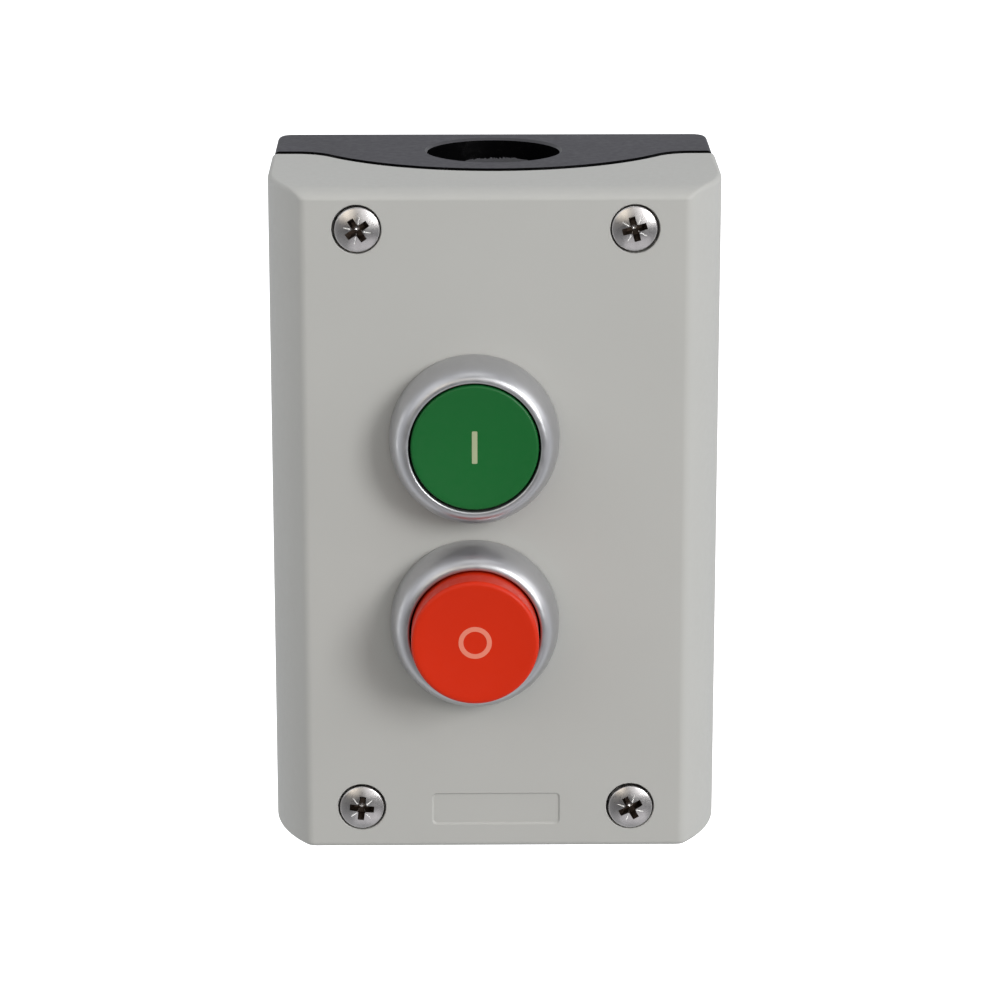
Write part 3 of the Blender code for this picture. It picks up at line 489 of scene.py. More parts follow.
def block(name, low, high, material):
    """A rectangular block between two corners."""
    outline = [(low[0], low[2]), (high[0], low[2]), (high[0], high[2]), (low[0], high[2])]
    return prism(name, outline, low[1], high[1], "Y", material)


def arc(radius, start, end, steps, centre=(0.0, 0.0)):
    """Points along an arc, both ends included; angles in degrees."""
    return [
        (
            centre[0] + radius * math.cos(math.radians(start + (end - start) * i / steps)),
            centre[1] + radius * math.sin(math.radians(start + (end - start) * i / steps)),
        )
        for i in range(steps + 1)
    ]


def circle(radius, steps, centre=(0.0, 0.0)):
    """Points on a full circle."""
    return arc(radius, 0.0, 360.0, steps, centre)[:-1]


def rod(name, radius, low, high, axis, material, centre=(0.0, 0.0), steps=48):
    """A plain cylinder along one axis."""
    return prism(name, circle(radius, steps, centre), low, high, axis, material)


def turned(name, profile, material, location=(0.0, 0.0, 0.0), steps=ROUND_STEPS):
    """Turns a closed profile of (radius, height) points about an axis along Y; height grows forward."""
    bm = bmesh.new()
    rings = []
    for radius, height in profile:
        if radius < SMALLEST_RADIUS:
            rings.append([bm.verts.new((0.0, -height, 0.0))])
            continue
        rings.append([bm.verts.new((x, -height, z)) for x, z in circle(radius, steps)])
    closed = min(radius for radius, _ in profile) > SMALLEST_RADIUS
    for k in range(len(rings) if closed else len(rings) - 1):
        near, far = rings[k], rings[(k + 1) % len(rings)]
        for i in range(steps):
            j = (i + 1) % steps
            if len(near) == 1:
                bm.faces.new((near[0], far[i], far[j]))
            elif len(far) == 1:
                bm.faces.new((near[i], far[0], near[j]))
            else:
                bm.faces.new((near[i], far[i], far[j], near[j]))
    return add_piece(name, bm, material, location)


def rounded_corner(corner, before, after, size, steps=5):
    """The short curve that replaces a profile's corner."""
    point = Vector(corner)
    enter = point + (Vector(before) - point).normalized() * size
    leave = point + (Vector(after) - point).normalized() * size
    curve = []
    for i in range(steps + 1):
        t = i / steps
        spot = enter * (1.0 - t) ** 2 + point * 2.0 * t * (1.0 - t) + leave * t ** 2
        curve.append((spot.x, spot.y))
    return curve


def eased(points, sizes, steps=5):
    """A closed profile with the numbered corners rounded: sizes maps a corner's index to its rounding."""
    out = []
    for i, point in enumerate(points):
        if i in sizes:
            out += rounded_corner(point, points[i - 1], points[(i + 1) % len(points)], sizes[i], steps)
        else:
            out.append(point)
    return out


# ---------------------------------------------------------------- enclosure

def shell_outline(inset, back, front):
    """The enclosure from above, (x, y) points, drawn in by inset: flat front, curved flanks, flat back."""
    centre_x = WIDTH / 2.0 - SIDE_CURVE_RADIUS
    radius = SIDE_CURVE_RADIUS - inset
    sweep = math.degrees(math.asin((front - SIDE_CURVE_START) / radius))
    flank = arc(radius, 0.0, -sweep, SIDE_CURVE_STEPS, (centre_x, -SIDE_CURVE_START))
    right = [(WIDTH / 2.0 - inset, -back)] + flank
    left = [(-x, y) for x, y in reversed(right)]
    return right + left


def parting_curve(offset):
    """The parting line seen from above, moved forward by offset: straight, blend, bulge, blend, straight."""
    centre_y = -(BULGE_DEPTH - BULGE_RADIUS)
    reach = BULGE_RADIUS + BULGE_BLEND
    blend_y = -PARTING_DEPTH - BULGE_BLEND
    blend_x = math.sqrt(reach ** 2 - (blend_y - centre_y) ** 2)
    turn = math.degrees(math.atan2(blend_x, centre_y - blend_y))
    right = arc(BULGE_RADIUS, -90.0, -90.0 + turn, BULGE_STEPS, (0.0, centre_y))[:-1]
    right += arc(BULGE_BLEND, 90.0 + turn, 90.0, BLEND_STEPS, (blend_x, blend_y))
    right.append((WIDTH, -PARTING_DEPTH))
    left = [(-x, y) for x, y in reversed(right[1:])]
    return [(x, y - offset) for x, y in left + right]


def parting_side(name, offset, towards, material):
    """All that lies on one side of the parting line: towards is +1 for the wall and -1 for the front."""
    curve = parting_curve(offset)
    far_y = WIDTH * towards
    outline = curve + [(curve[-1][0], far_y), (curve[0][0], far_y)]
    return prism(name, outline, -HEIGHT, HEIGHT, "Z", material)


def parting_groove(material):
    """The groove for the seal, along the parting line inside the wall."""
    forward = parting_curve(GROOVE_DEPTH)
    backward = parting_curve(-GROOVE_DEPTH)
    ring = prism("groove", backward + list(reversed(forward)), -HEIGHT, HEIGHT, "Z", material)
    reach = [(WIDTH / 2.0 - inset, HEIGHT / 2.0 - inset) for inset in GROOVE_INSET]
    keep, core = (block("side", (-x, -DEPTH, -z), (x, 0.0, z), material) for x, z in reach)
    combine(ring, "INTERSECT", keep)
    return cut(ring, core)


def parting_rebate(material):
    """The shallow step along the outer edge of the back box, whose near-black walls are painted shade that
    shows as a dark line beside the cover.
    """
    step = parting_side("rebate", -REBATE_WIDTH, -1.0, material)
    reach_x, reach_z = WIDTH / 2.0 - REBATE_DEPTH, HEIGHT / 2.0 - REBATE_DEPTH
    return cut(step, block("core", (-reach_x, -DEPTH, -reach_z), (reach_x, 0.0, reach_z), material))


def shell_section(side, front):
    """One cross-section of the enclosure, drawn in at its sides and front, with softened upright edges."""
    outline = shell_outline(side, 0.0, DEPTH - front)
    front_right = SIDE_CURVE_STEPS + 1
    edges = {
        0: BACK_CORNER,
        front_right: FRONT_EDGE_ROUNDING,
        front_right + 1: FRONT_EDGE_ROUNDING,
        len(outline) - 1: BACK_CORNER,
    }
    return eased(outline, edges, FRONT_EDGE_STEPS)


def drawn_in(drop, height, depth):
    """How far behind the full section a rounded edge lies, at a drop from the end face."""
    if drop >= height:
        return 0.0
    return depth * (1.0 - math.sqrt(1.0 - (1.0 - drop / height) ** 2))


def end_levels(inset, front_height, front_depth, end):
    """Heights and sections from one end face (end is +1 at the top, -1 at the bottom) to where it is full."""
    levels = []
    for i in range(ROUNDING_STEPS + 1):
        drop = front_height * (1.0 - math.cos(math.pi / 2.0 * i / ROUNDING_STEPS))
        side = inset + drawn_in(drop, EDGE_ROUNDING, EDGE_ROUNDING)
        front = inset + drawn_in(drop, front_height, front_depth)
        levels.append((end * (HEIGHT / 2.0 - inset - drop), shell_section(side, front)))
    return levels


def rounded_shell(name, inset, material):
    """The whole enclosure as one solid: equal sections up its height, drawn in at both ends to round them."""
    top = end_levels(inset, TOP_FRONT_HEIGHT, TOP_FRONT_DEPTH, 1.0)
    bottom = end_levels(inset, EDGE_ROUNDING, EDGE_ROUNDING, -1.0)
    bm = bmesh.new()
    rings = []
    for z, section in top + list(reversed(bottom)):
        rings.append([bm.verts.new((x, y, z)) for x, y in section])
    for near, far in zip(rings, rings[1:]):
        for i in range(len(near)):
            j = (i + 1) % len(near)
            bm.faces.new((near[i], near[j], far[j], far[i]))
    bm.faces.new(rings[0])
    bm.faces.new(rings[-1])
    return add_piece(name, bm, material)


def cavity(material):
    """The room inside the enclosure."""
    half = HEIGHT / 2.0 - WALL
    return prism("room", shell_outline(WALL, FLOOR, DEPTH - FRONT_WALL), -half, half, "Z", material)


def entry_collar(side, material):
    """Collar round a cable entry inside the box, at the top (side +1) or the bottom (side -1)."""
    wall = HEIGHT / 2.0 - BASE_INSET - WALL / 2.0
    low, high = sorted((side * ENTRY_COLLAR_END, side * wall))
    ring = circle(ENTRY_COLLAR_RADIUS, ENTRY_COLLAR_STEPS, (0.0, -ENTRY_DEPTH))
    outline = [(x, min(y, -FLOOR / 2.0)) for x, y in ring]
    return prism("collar", outline, low, high, "Z", material)


def open_entry(material):
    """The straight bore of the open cable entry."""
    low, high = ENTRY_COLLAR_END - OVERRUN, HEIGHT / 2.0
    return rod("bore", ENTRY_RADIUS, low, high, "Z", material, (0.0, -ENTRY_DEPTH), ENTRY_STEPS)


def entry_mouth(material):
    """The chamfer round the mouth of the open cable entry."""
    top = HEIGHT / 2.0 - BASE_INSET
    profile = [
        (0.0, top - ENTRY_CHAMFER),
        (ENTRY_RADIUS, top - ENTRY_CHAMFER),
        (ENTRY_RADIUS + 2.0 * ENTRY_CHAMFER, top + ENTRY_CHAMFER),
        (0.0, top + ENTRY_CHAMFER),
    ]
    mouth = turned("mouth", profile, material, (0.0, -ENTRY_DEPTH, 0.0), ENTRY_STEPS)
    mouth.rotation_euler = (-math.pi / 2.0, 0.0, 0.0)
    return mouth


def flash_edges():
    """Root and torn edge of the flash, (x, y, lift) points along the front of the open entry."""
    rng = random.Random(FLASH_SEED)
    start, end = FLASH_ARC
    root, torn = [], []
    for i in range(FLASH_STEPS + 1):
        share = i / FLASH_STEPS
        swell = math.sin(math.pi * share) ** FLASH_SWELL
        reach = swell * FLASH_REACH * (FLASH_LEAST + (1.0 - FLASH_LEAST) * rng.random())
        angle = math.radians(start + (end - start) * share)
        rise = FLASH_RISE * reach / FLASH_REACH
        places = (root, ENTRY_RADIUS + FLASH_ROOT, 0.0), (torn, ENTRY_RADIUS - reach, rise)
        for edge, radius, lift in places:
            edge.append((radius * math.cos(angle), -ENTRY_DEPTH + radius * math.sin(angle), lift))
    return root, torn


def knockout_flash(material):
    """Ragged remains of the knocked-out skin, bent up a little along the front of the open entry."""
    root, torn = flash_edges()
    outline = root + list(reversed(torn))
    top = HEIGHT / 2.0 - BASE_INSET - ENTRY_CHAMFER - FLASH_SINK
    bm = bmesh.new()
    upper = [bm.verts.new((x, y, top + lift)) for x, y, lift in outline]
    lower = [bm.verts.new((x, y, top + lift - FLASH_THICKNESS)) for x, y, lift in outline]
    last = len(outline) - 1
    for i in range(FLASH_STEPS):
        for ring in (upper, lower):
            bm.faces.new((ring[i], ring[i + 1], ring[last - i - 1], ring[last - i]))
    for i in range(len(outline)):
        j = (i + 1) % len(outline)
        bm.faces.new((upper[i], upper[j], lower[j], lower[i]))
    return add_piece("flash", bm, material)


def slot_outline(radius, travel, centre_z):
    """An upright slot with round ends."""
    upper = arc(radius, 0.0, 180.0, FIXING_END_STEPS, (0.0, centre_z + travel / 2.0))
    lower = arc(radius, 180.0, 360.0, FIXING_END_STEPS, (0.0, centre_z - travel / 2.0))
    return upper + lower


def make_base():
    """Back box: floor, walls up to the parting line, bosses, cable entries, fixing slots and block seats."""
    skin = MATERIALS["base_plastic"]
    base = rounded_shell("back_box", BASE_INSET, skin)
    cut(base, cavity(skin))
    cut(base, parting_side("front_side", -PARTING_GAP / 2.0, -1.0, skin))
    # The rebate's walls take the near-black painted shade.
    cut(base, parting_rebate(MATERIALS["painted_shade_black"]))
    cut(base, parting_groove(skin))
    for place in SCREW_PLACES:
        join(base, rod("boss", BOSS_RADIUS, -BOSS_TOP, -FLOOR / 2.0, "Y", skin, (place.x, place.z)))
        cut(base, rod("pilot", PILOT_RADIUS, -DEPTH, -PILOT_END, "Y", skin, (place.x, place.z)))
    for centre in BUTTON_CENTRES.values():
        low = (centre.x - SEAT_HALF_WIDTH, -SEAT_TOP, centre.z - SEAT_HALF_LENGTH)
        high = (centre.x + SEAT_HALF_WIDTH, -FLOOR / 2.0, centre.z + SEAT_HALF_LENGTH)
        join(base, block("seat", low, high, skin))
    for side in (1.0, -1.0):
        join(base, entry_collar(side, skin))
        slot = slot_outline(FIXING_RADIUS, FIXING_TRAVEL, side * FIXING_Z)
        land = slot_outline(FIXING_LAND_RADIUS, FIXING_TRAVEL, side * FIXING_Z)
        cut(base, prism("slot", slot, -FLOOR - OVERRUN, OVERRUN, "Y", skin))
        cut(base, prism("land", land, -FLOOR - OVERRUN, -FLOOR + FIXING_LAND_DEPTH, "Y", skin))
    # The bore takes the near-black painted shade, so the inside of the open entry reads dark.
    cut(base, open_entry(MATERIALS["painted_shade_black"]))
    cut(base, entry_mouth(MATERIALS["mouth_plastic"]))
    low, high = -(HEIGHT / 2.0 - BASE_INSET - KNOCKOUT_SKIN), -ENTRY_COLLAR_END + OVERRUN
    centre = (0.0, -ENTRY_DEPTH)
    cut(base, rod("blind", ENTRY_RADIUS, low, high, "Z", skin, centre, ENTRY_COLLAR_STEPS))
    join(base, knockout_flash(MATERIALS["torn_plastic"]))
    smooth(base)
    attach(base, "case")
    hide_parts("base_box")


def rounded_rectangle(width, low_z, high_z, corner):
    """A rectangle with round corners, (x, z) points."""
    half = width / 2.0
    points = [(-half, low_z), (half, low_z), (half, high_z), (-half, high_z)]
    return eased(points, dict.fromkeys(range(4), corner), CORNER_STEPS)


def label_tool(material):
    """Cutter for the blank label field, whose edges slope gently to its sunk floor."""
    low_z, high_z = LABEL_SPAN
    bm = bmesh.new()
    rings = []
    for depth in (-LABEL_DEPTH, LABEL_DEPTH):
        spread_out = -depth / LABEL_DEPTH * LABEL_SLOPE
        width, corner = LABEL_WIDTH + 2.0 * spread_out, LABEL_CORNER + spread_out
        outline = rounded_rectangle(width, low_z - spread_out, high_z + spread_out, corner)
        rings.append([bm.verts.new((x, -DEPTH + depth, z)) for x, z in outline])
    for i in range(len(rings[0])):
        j = (i + 1) % len(rings[0])
        bm.faces.new((rings[0][i], rings[0][j], rings[1][j], rings[1][i]))
    bm.faces.new(rings[0])
    bm.faces.new(rings[1])
    return add_piece("label", bm, material)


def counterbore_tool(place, material):
    """Cutter for the seat of a cover screw's head, with a softened mouth."""
    profile = [
        (0.0, -COUNTERBORE_DEPTH),
        (COUNTERBORE_RADIUS, -COUNTERBORE_DEPTH),
        (COUNTERBORE_RADIUS, -COUNTERBORE_EDGE),
        (COUNTERBORE_RADIUS + 2.0 * COUNTERBORE_EDGE, COUNTERBORE_EDGE),
        (0.0, COUNTERBORE_EDGE),
    ]
    return turned("seat", profile, material, (place.x, -DEPTH, place.z), COUNTERBORE_STEPS)


def make_cover():
    """Front shell: curved flanks, two keyed button holes, four screw sleeves and a blank sunk label field."""
    skin = MATERIALS["cover_plastic"]
    cover = rounded_shell("front_cover", 0.0, skin)
    cut(cover, cavity(skin))
    cut(cover, parting_side("wall_side", PARTING_GAP / 2.0, 1.0, skin))
    cut(cover, parting_groove(skin))
    inner_face = DEPTH - FRONT_WALL / 2.0
    for place in SCREW_PLACES:
        centre = (place.x, place.z)
        join(cover, rod("sleeve", BOSS_RADIUS, -inner_face, -SLEEVE_END, "Y", skin, centre))
        cut(cover, rod("bore", SLEEVE_BORE, -DEPTH - OVERRUN, 0.0, "Y", skin, centre))
        cut(cover, counterbore_tool(place, skin))
    front, back = -DEPTH - OVERRUN, -DEPTH + 2.0 * FRONT_WALL
    half_key = KEY_WIDTH / 2.0
    for centre in BUTTON_CENTRES.values():
        cut(cover, rod("hole", HOLE_RADIUS, front, back, "Y", skin, (centre.x, centre.z), HOLE_STEPS))
        low = (centre.x - half_key, front, centre.z)
        high = (centre.x + half_key, back, centre.z + HOLE_RADIUS + KEY_REACH)
        cut(cover, block("key", low, high, skin))
    cut(cover, label_tool(skin))
    smooth(cover)
    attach(cover, "case")
    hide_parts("cover")


# ---------------------------------------------------------------- screws

def recess_arms(top, across):
    """Two opposite arms of the recess as one tapering bar; across lays it the other way."""
    bm = bmesh.new()
    rings = []
    for height, (length, width) in ((top, RECESS_MOUTH), (RECESS_FLOOR, RECESS_END)):
        corners = [(-length, -width), (length, -width), (length, width), (-length, width)]
        if across:
            corners = [(-b, a) for a, b in corners]
        rings.append([bm.verts.new((a, -height, b)) for a, b in corners])
    for i in range(4):
        j = (i + 1) % 4
        bm.faces.new((rings[0][i], rings[0][j], rings[1][j], rings[1][i]))
    bm.faces.new(rings[0])
    bm.faces.new(rings[1])
    # The arms carry the dark recess colour, which is painted shade.
    return add_piece("arm", bm, MATERIALS["recess_painted_shade"])


def cross_tool(turn, location):
    """Cutter for the cross recess: arms coloured dark as painted shade in the deep recess, and a bright cone
    of the head's steel in the middle.
    """
    top = HEAD_RIM + HEAD_CROWN + RECESS_ABOVE
    tool = recess_arms(top, False)
    join(tool, recess_arms(top, True))
    profile = [*RECESS_POINT, (RECESS_CONE, top), (0.0, top)]
    join(tool, turned("core", profile, MATERIALS["screw_steel"], steps=RECESS_CONE_STEPS))
    tool.location = Vector(location) * MM
    tool.rotation_euler = (0.0, math.radians(turn), 0.0)
    return tool


def tick_tool(turn, location):
    """The four thin grooves between the arms of the recess, as V-shaped cutters."""
    bm = bmesh.new()
    for i in range(4):
        angle = math.radians(45.0 + 90.0 * i)
        out = Vector((math.cos(angle), 0.0, math.sin(angle)))
        side = Vector((-math.sin(angle), 0.0, math.cos(angle))) * TICK_HALF_WIDTH
        rows = []
        for reach, depth in TICK_ENDS:
            top = out * reach + Vector((0.0, -(HEAD_RIM + HEAD_CROWN + TICK_ABOVE), 0.0))
            low = out * reach + Vector((0.0, -(HEAD_RIM + depth), 0.0))
            rows.append([bm.verts.new(p) for p in (top - side, top + side, low)])
        for k in range(3):
            m = (k + 1) % 3
            bm.faces.new((rows[0][k], rows[0][m], rows[1][m], rows[1][k]))
        bm.faces.new(rows[0])
        bm.faces.new(rows[1])
    tool = add_piece("ticks", bm, MATERIALS["scored_steel"], location)
    tool.rotation_euler = (0.0, math.radians(turn), 0.0)
    return tool


def screw_head_profile():
    """Profile of the head from the shank outward and over its crown to the middle."""
    crown = []
    for i in range(1, HEAD_CROWN_STEPS):
        share = 1.0 - i / HEAD_CROWN_STEPS
        crown.append((HEAD_RADIUS * share, HEAD_RIM + HEAD_CROWN * (1.0 - share ** 2)))
    corners = [
        (SHANK_RADIUS, -HEAD_SEAT),
        (HEAD_RADIUS, -HEAD_SEAT),
        (HEAD_RADIUS, HEAD_RIM),
        crown[0],
    ]
    rim = eased(corners, {1: HEAD_LOWER_ROUNDING, 2: HEAD_UPPER_ROUNDING})[1:-1]
    return [(SHANK_RADIUS, -HEAD_SEAT), *rim, *crown, (0.0, HEAD_RIM + HEAD_CROWN)]


def screw_shank_profile():
    """Profile of the shank from the middle of its tip, along the thread, to the plain part under the head."""
    tip, root = -(DEPTH - SCREW_TIP), SHANK_RADIUS - THREAD_DEPTH
    height = tip + TIP_LENGTH
    profile = [(0.0, tip), (SHANK_RADIUS * TIP_SHARE, tip), (root, height)]
    while height < -DEPTH + THREAD_TOP:
        for radius, share in zip((root, SHANK_RADIUS, SHANK_RADIUS, root), THREAD_SHARES):
            profile.append((radius, height + THREAD_PITCH * share))
        height += THREAD_PITCH
    return profile + [(root, -DEPTH + RUNOUT[0]), (SHANK_RADIUS, -DEPTH + RUNOUT[1])]


def make_cover_screw(index, place, turn, shift):
    """Raised-head screw with a cross recess and a coarse thread, not quite central in its seat."""
    location = (place.x + shift[0], -DEPTH, place.z + shift[1])
    points = screw_shank_profile() + screw_head_profile()
    profile = points[:1] + [p for p, q in zip(points[1:], points) if math.dist(p, q) > SAME_POINT]
    screw = turned(f"case_screw_{index}", profile, MATERIALS["screw_steel"], location, HEAD_STEPS)
    cut(screw, tick_tool(turn, location))
    cut(screw, cross_tool(turn, location))
    smooth(screw, HEAD_SMOOTH_ANGLE)
    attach(screw, "case")
    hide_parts(f"cover_screw_{index}")


# ---------------------------------------------------------------- buttons

def make_bezel(prefix, centre):
    """Front ring: straight foot, crowned shoulder, rounded lip, and a skirt over the flange and seal."""
    width = BEZEL_RADIUS - BEZEL_LIP
    rise = BEZEL_HEIGHT - BEZEL_SHOULDER
    quarter = arc(1.0, 0.0, 90.0, BEZEL_CROWN_STEPS)
    crown = [(BEZEL_LIP + x * width, BEZEL_SHOULDER + y * rise) for x, y in quarter]
    corner, inside = (BEZEL_MOUTH, BEZEL_HEIGHT), (BEZEL_MOUTH, BEZEL_SKIRT_TOP)
    lip = rounded_corner(corner, (BEZEL_LIP, BEZEL_HEIGHT), inside, BEZEL_LIP_ROUNDING, BEZEL_LIP_STEPS)
    profile = [
        (BEZEL_SKIRT, BEZEL_BASE),
        (BEZEL_RADIUS - BEZEL_FOOT_CHAMFER, BEZEL_BASE),
        (BEZEL_RADIUS, BEZEL_BASE + BEZEL_FOOT_CHAMFER),
        *crown,
        *lip,
        inside,
        (BEZEL_SKIRT, BEZEL_SKIRT_TOP),
    ]
    location = (centre.x, -DEPTH, centre.z)
    ring = turned(f"{prefix}_front_ring", profile, MATERIALS["bezel_metal"], location, BEZEL_STEPS)
    smooth(ring)
    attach(ring, "case")
    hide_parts(f"{prefix}_bezel")


def bar_mark():
    """The on symbol: an upright bar."""
    return [rounded_rectangle(BAR_WIDTH, -MARK_HALF_HEIGHT, MARK_HALF_HEIGHT, BAR_CORNER)]


def ring_mark():
    """The off symbol: a ring, as outer and inner outline."""
    return [circle(MARK_HALF_HEIGHT, MARK_STEPS), circle(RING_BORE, MARK_STEPS)]


def mark_solid(name, outlines, low, high, material, location):
    """Solid between two depths with the given outline, hollow where there is a second one."""
    solid = prism(name, outlines[0], low, high, "Y", material, location)
    for hole in outlines[1:]:
        cut(solid, prism("bore", hole, low - OVERRUN, high + OVERRUN, "Y", material, location))
    return solid


def dished_face(face, rounding):
    """A cap's finger face as profile points from its edge to its middle, slightly hollow."""
    edge = CAP_RADIUS - rounding
    points = []
    for i in range(1, DISH_STEPS + 1):
        radius = edge * (1.0 - i / DISH_STEPS)
        points.append((radius, face - CAP_DISH * (1.0 - (radius / edge) ** 2)))
    return points


def make_cap(prefix, profile, rim, outlines, skin, ink):
    """A button cap with its symbol inlaid in a shallow pocket."""
    centre = BUTTON_CENTRES[prefix]
    location = (centre.x, -DEPTH, centre.z)
    face = rim - CAP_DISH
    floor = -face + MARK_POCKET
    cap = turned(f"{prefix}_button_cap", profile, MATERIALS[skin], location, CAP_STEPS)
    cut(cap, mark_solid("pocket", outlines, -face - OVERRUN, floor, MATERIALS[skin], location))
    smooth(cap)
    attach(cap, f"{prefix}_button")
    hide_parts(f"{prefix}_cap")
    top, bed = -face - MARK_PROUD, floor - MARK_BED
    inlay = mark_solid(f"{prefix}_symbol", outlines, top, bed, MATERIALS[ink], location)
    smooth(inlay)
    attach(inlay, f"{prefix}_button")


def make_start_cap():
    """The flush green cap."""
    face = START_CAP_FACE
    corners = [(0.0, CAP_BACK), (CAP_RADIUS, CAP_BACK), (CAP_RADIUS, face), (0.0, face)]
    roundings = {1: CAP_FOOT_ROUNDING, 2: START_CAP_ROUNDING}
    side = eased(corners, roundings, START_CAP_ROUNDING_STEPS)[:-1]
    profile = side + dished_face(face, START_CAP_ROUNDING)
    make_cap("start", profile, face, bar_mark(), "start_green", "start_ink")


def make_stop_cap():
    """The extended red cap, hollow behind its face."""
    face = STOP_CAP_FACE
    inner, roof = CAP_RADIUS - STOP_CAP_WALL, face - STOP_CAP_WALL
    corners = [
        (0.0, roof),
        (inner, roof),
        (inner, CAP_BACK),
        (CAP_RADIUS, CAP_BACK),
        (CAP_RADIUS, face),
        (0.0, face),
    ]
    roundings = {3: CAP_FOOT_ROUNDING, 4: STOP_CAP_ROUNDING}
    side = eased(corners, roundings, STOP_CAP_ROUNDING_STEPS)[:-1]
    profile = side + dished_face(face, STOP_CAP_ROUNDING)
    make_cap("stop", profile, face, ring_mark(), "stop_red", "stop_ink")


def wire_ring(bm, spot, out, wire_radius):
    """One ring of the wire's surface round a point of its middle line."""
    ring = []
    for k in range(SPRING_WIRE_SIDES):
        around = 2.0 * math.pi * k / SPRING_WIRE_SIDES
        offset = out * math.cos(around) + Vector((0.0, math.sin(around), 0.0))
        ring.append(bm.verts.new(spot + offset * wire_radius))
    return ring


def make_helix(name, node, wire_radius, turns, material):
    """A compression spring with closed end turns, filling the CAD spring's place along Y."""
    low, high = box_mm(node)
    centre = (low + high) / 2.0
    mean_radius = (high.x - low.x) / 2.0 - wire_radius
    back, front = -high.y + wire_radius, -low.y - wire_radius
    steps = int(turns * SPRING_STEPS_PER_TURN)
    closing = SPRING_CLOSED_TURN / turns
    bm = bmesh.new()
    rings = []
    for i in range(steps + 1):
        share = i / steps
        rise = min(1.0, max(0.0, (share - closing) / (1.0 - 2.0 * closing)))
        angle = 2.0 * math.pi * turns * share
        out = Vector((math.cos(angle), 0.0, math.sin(angle)))
        spot = out * mean_radius + Vector((0.0, -(back + (front - back) * rise), 0.0))
        rings.append(wire_ring(bm, spot, out, wire_radius))
    for near, far in zip(rings, rings[1:]):
        for k in range(SPRING_WIRE_SIDES):
            m = (k + 1) % SPRING_WIRE_SIDES
            bm.faces.new((near[k], far[k], far[m], near[m]))
    bm.faces.new(rings[0])
    bm.faces.new(rings[-1])
    return smooth(add_piece(name, bm, material, (centre.x, 0.0, centre.z)))


def make_springs():
    """Return springs behind the plungers and contact springs in the blocks, fixed to the case."""
    for prefix in ("start", "stop"):
        for node, joint, wire, turns in (
            (f"{prefix}_return_spring", f"{prefix}_press", RETURN_WIRE, RETURN_TURNS),
            (f"{prefix}_spring", f"{prefix}_contact_travel", CONTACT_WIRE, CONTACT_TURNS[prefix]),
        ):
            spring = make_helix(f"{node}_wire", node, wire, turns, MATERIALS["spring_steel"])
            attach(spring, "case")
            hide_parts(node)
            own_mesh(spring)


# ---------------------------------------------------------------- carried-over pieces

def finish_cad_pieces():
    """Gives every shown CAD node its procedural material, by the record's slot for it, and soft edges."""
    for entry in frame["record"]["subparts"]:
        piece = frame["nodes"][entry["node"]]
        if piece.hide_render:
            continue
        piece.data.materials.clear()
        piece.data.materials.append(MATERIALS[entry["material_slot"]])
        weld = piece.modifiers.new("weld", "WELD")
        weld.merge_threshold = WELD_DISTANCE
        edges = piece.modifiers.new("edges", "BEVEL")
        edges.width = SOFT_EDGE
        edges.segments = 2
        edges.limit_method = "ANGLE"
        edges.angle_limit = math.radians(SOFT_EDGE_ANGLE)
        edges.harden_normals = False


# ---------------------------------------------------------------- studio

# The camera, in metres, degrees and, for the lens and its sensor, millimetres
CAMERA_TARGET = Vector((0.0008, -0.050, 0.0031))
CAMERA_DISTANCE = 0.6827
CAMERA_PITCH = 15.56
CAMERA_YAW = -0.68
CAMERA_LENS = 138.6
CAMERA_SENSOR = 36.0

# The floor, in metres
FLOOR_DROP = 0.35
FLOOR_SIZE = 6.0
FLOOR_CELLS = 8
FLOOR_TONE = 0.9

# Softboxes: name, direction they stand in, width and height in metres, level, colour
LIGHT_DISTANCE = 3.0
WHITE = (1.0, 1.0, 1.0)
SOFTBOXES = (
    ("key_light", (0.60, -0.72, 0.34), (1.0, 1.2), 0.58, WHITE),
    ("glow_light", (0.42, -0.80, 0.42), (2.8, 2.6), 0.23, WHITE),
    ("side_light", (0.86, -0.18, 0.46), (1.5, 1.8), 0.13, WHITE),
    ("fill_light", (-0.66, -0.46, 0.60), (2.4, 2.4), 0.16, (0.97, 0.98, 1.0)),
    ("warm_light", (-0.34, -0.88, 0.36), (1.4, 1.4), 0.10, (1.0, 0.92, 0.78)),
    ("top_light", (0.0, -0.25, 0.97), (1.6, 1.2), 0.06, WHITE),
    ("table_light", (0.15, -0.76, -0.62), (2.4, 1.4), 0.07, (0.98, 0.96, 1.0)),
    ("rim_light", (-0.90, 0.40, 0.0), (1.2, 2.0), 0.09, WHITE),
)

# Surroundings: brightness in front and behind, and its share from below and from above
WORLD_COLOUR = (0.98, 1.0, 1.03, 1.0)
WORLD_FRONT = 0.10
WORLD_BEHIND = 0.68
WORLD_BELOW = 1.25
WORLD_ABOVE = 0.80


def make_floor():
    """Large pale floor well below the station."""
    bm = bmesh.new()
    bmesh.ops.create_grid(bm, x_segments=FLOOR_CELLS, y_segments=FLOOR_CELLS, size=FLOOR_SIZE)
    mesh = bpy.data.meshes.new("studio_floor")
    bm.to_mesh(mesh)
    bm.free()
    floor = bpy.data.objects.new("studio_floor", mesh)
    floor.location = (0.0, 0.0, CAD_BOX[0].z - FLOOR_DROP)
    bpy.context.collection.objects.link(floor)
    material, _, shader = principled("studio_floor", (FLOOR_TONE, FLOOR_TONE, FLOOR_TONE), FLOOR_TONE)
    shader.inputs["Emission Color"].default_value = (1.0, 1.0, 1.0, 1.0)
    shader.inputs["Emission Strength"].default_value = FLOOR_TONE
    mesh.materials.append(material)
    floor.visible_diffuse = False
    floor.visible_glossy = False


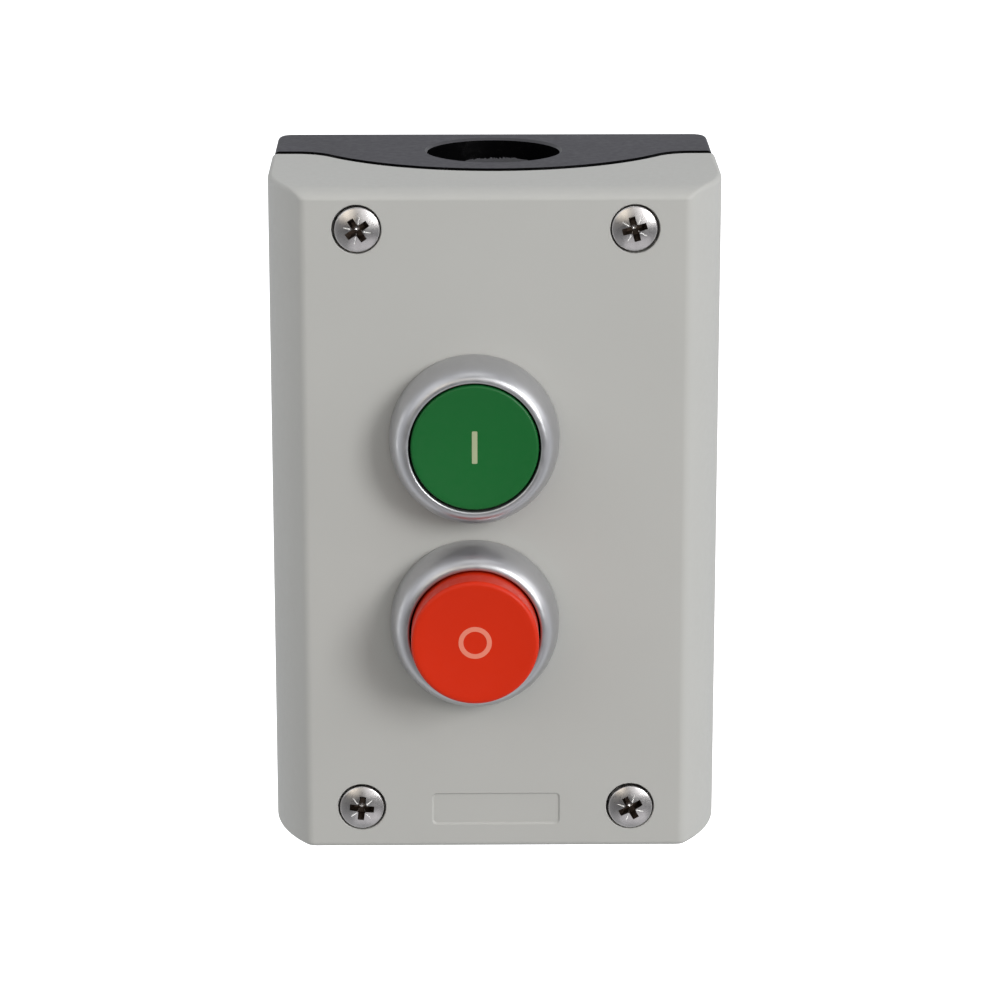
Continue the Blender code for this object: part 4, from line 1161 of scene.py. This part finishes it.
def add_softbox(name, direction, size, level, colour):
    """Softbox that faces the station; a white wall square to it would show at the given brightness."""
    light = bpy.data.lights.new(name, "AREA")
    light.shape = "RECTANGLE"
    light.size, light.size_y = size
    light.energy = level * (math.pi * LIGHT_DISTANCE) ** 2
    light.color = colour
    lamp = bpy.data.objects.new(name, light)
    aim = Vector(direction).normalized()
    lamp.location = Vector((0.0, -DEPTH * MM, 0.0)) + aim * LIGHT_DISTANCE
    lamp.rotation_mode = "QUATERNION"
    lamp.rotation_quaternion = aim.to_track_quat("Z", "Y")
    lamp.visible_camera = False
    bpy.context.collection.objects.link(lamp)


def map_range(tree, source, low, high, from_max=1.0):
    """Maps a direction's part, from -1 to from_max, to a range."""
    node = tree.nodes.new("ShaderNodeMapRange")
    node.inputs["From Min"].default_value = -1.0
    node.inputs["From Max"].default_value = from_max
    node.inputs["To Min"].default_value = low
    node.inputs["To Max"].default_value = high
    tree.links.new(source, node.inputs["Value"])
    return node.outputs["Result"]


def make_surroundings():
    """Pale surroundings, brighter behind and below than in front and above, and plain white as a backdrop."""
    world = bpy.data.worlds.new("studio")
    world.use_nodes = True
    tree = world.node_tree
    place = tree.nodes.new("ShaderNodeTexCoord")
    split = tree.nodes.new("ShaderNodeSeparateXYZ")
    tree.links.new(place.outputs["Generated"], split.inputs["Vector"])
    strength = tree.nodes.new("ShaderNodeMath")
    strength.operation = "MULTIPLY"
    around = map_range(tree, split.outputs["Y"], WORLD_FRONT, WORLD_BEHIND, from_max=0.0)
    below = map_range(tree, split.outputs["Z"], WORLD_BELOW, WORLD_ABOVE)
    tree.links.new(around, strength.inputs[0])
    tree.links.new(below, strength.inputs[1])
    path = tree.nodes.new("ShaderNodeLightPath")
    seen = tree.nodes.new("ShaderNodeMix")
    seen.inputs["B"].default_value = 1.0
    tree.links.new(path.outputs["Is Camera Ray"], seen.inputs["Factor"])
    tree.links.new(strength.outputs["Value"], seen.inputs["A"])
    background = tree.nodes["Background"]
    background.inputs["Color"].default_value = WORLD_COLOUR
    tree.links.new(seen.outputs["Result"], background.inputs["Strength"])
    bpy.context.scene.world = world


def make_camera():
    """Camera in front of the station and a little above it."""
    pitch, yaw = math.radians(CAMERA_PITCH), math.radians(CAMERA_YAW)
    level = math.cos(pitch)
    forward = Vector((-math.sin(yaw) * level, math.cos(yaw) * level, -math.sin(pitch)))
    data = bpy.data.cameras.new("camera")
    data.lens = CAMERA_LENS
    data.sensor_width = CAMERA_SENSOR
    camera = bpy.data.objects.new("camera", data)
    camera.location = CAMERA_TARGET - forward * CAMERA_DISTANCE
    camera.rotation_mode = "QUATERNION"
    camera.rotation_quaternion = (-forward).to_track_quat("Z", "Y")
    bpy.context.collection.objects.link(camera)
    bpy.context.scene.camera = camera


def main():
    """Builds every piece of the station and the studio round it."""
    make_camera()
    make_base()
    make_cover()
    for index, (place, turn, shift) in enumerate(zip(SCREW_PLACES, SCREW_TURNS, SCREW_SHIFTS), start=1):
        make_cover_screw(index, place, turn, shift)
    for prefix, centre in BUTTON_CENTRES.items():
        make_bezel(prefix, centre)
    make_start_cap()
    make_stop_cap()
    make_springs()
    finish_cad_pieces()
    make_floor()
    for softbox in SOFTBOXES:
        add_softbox(*softbox)
    make_surroundings()
    bpy.context.scene.view_settings.view_transform = "Standard"


main()
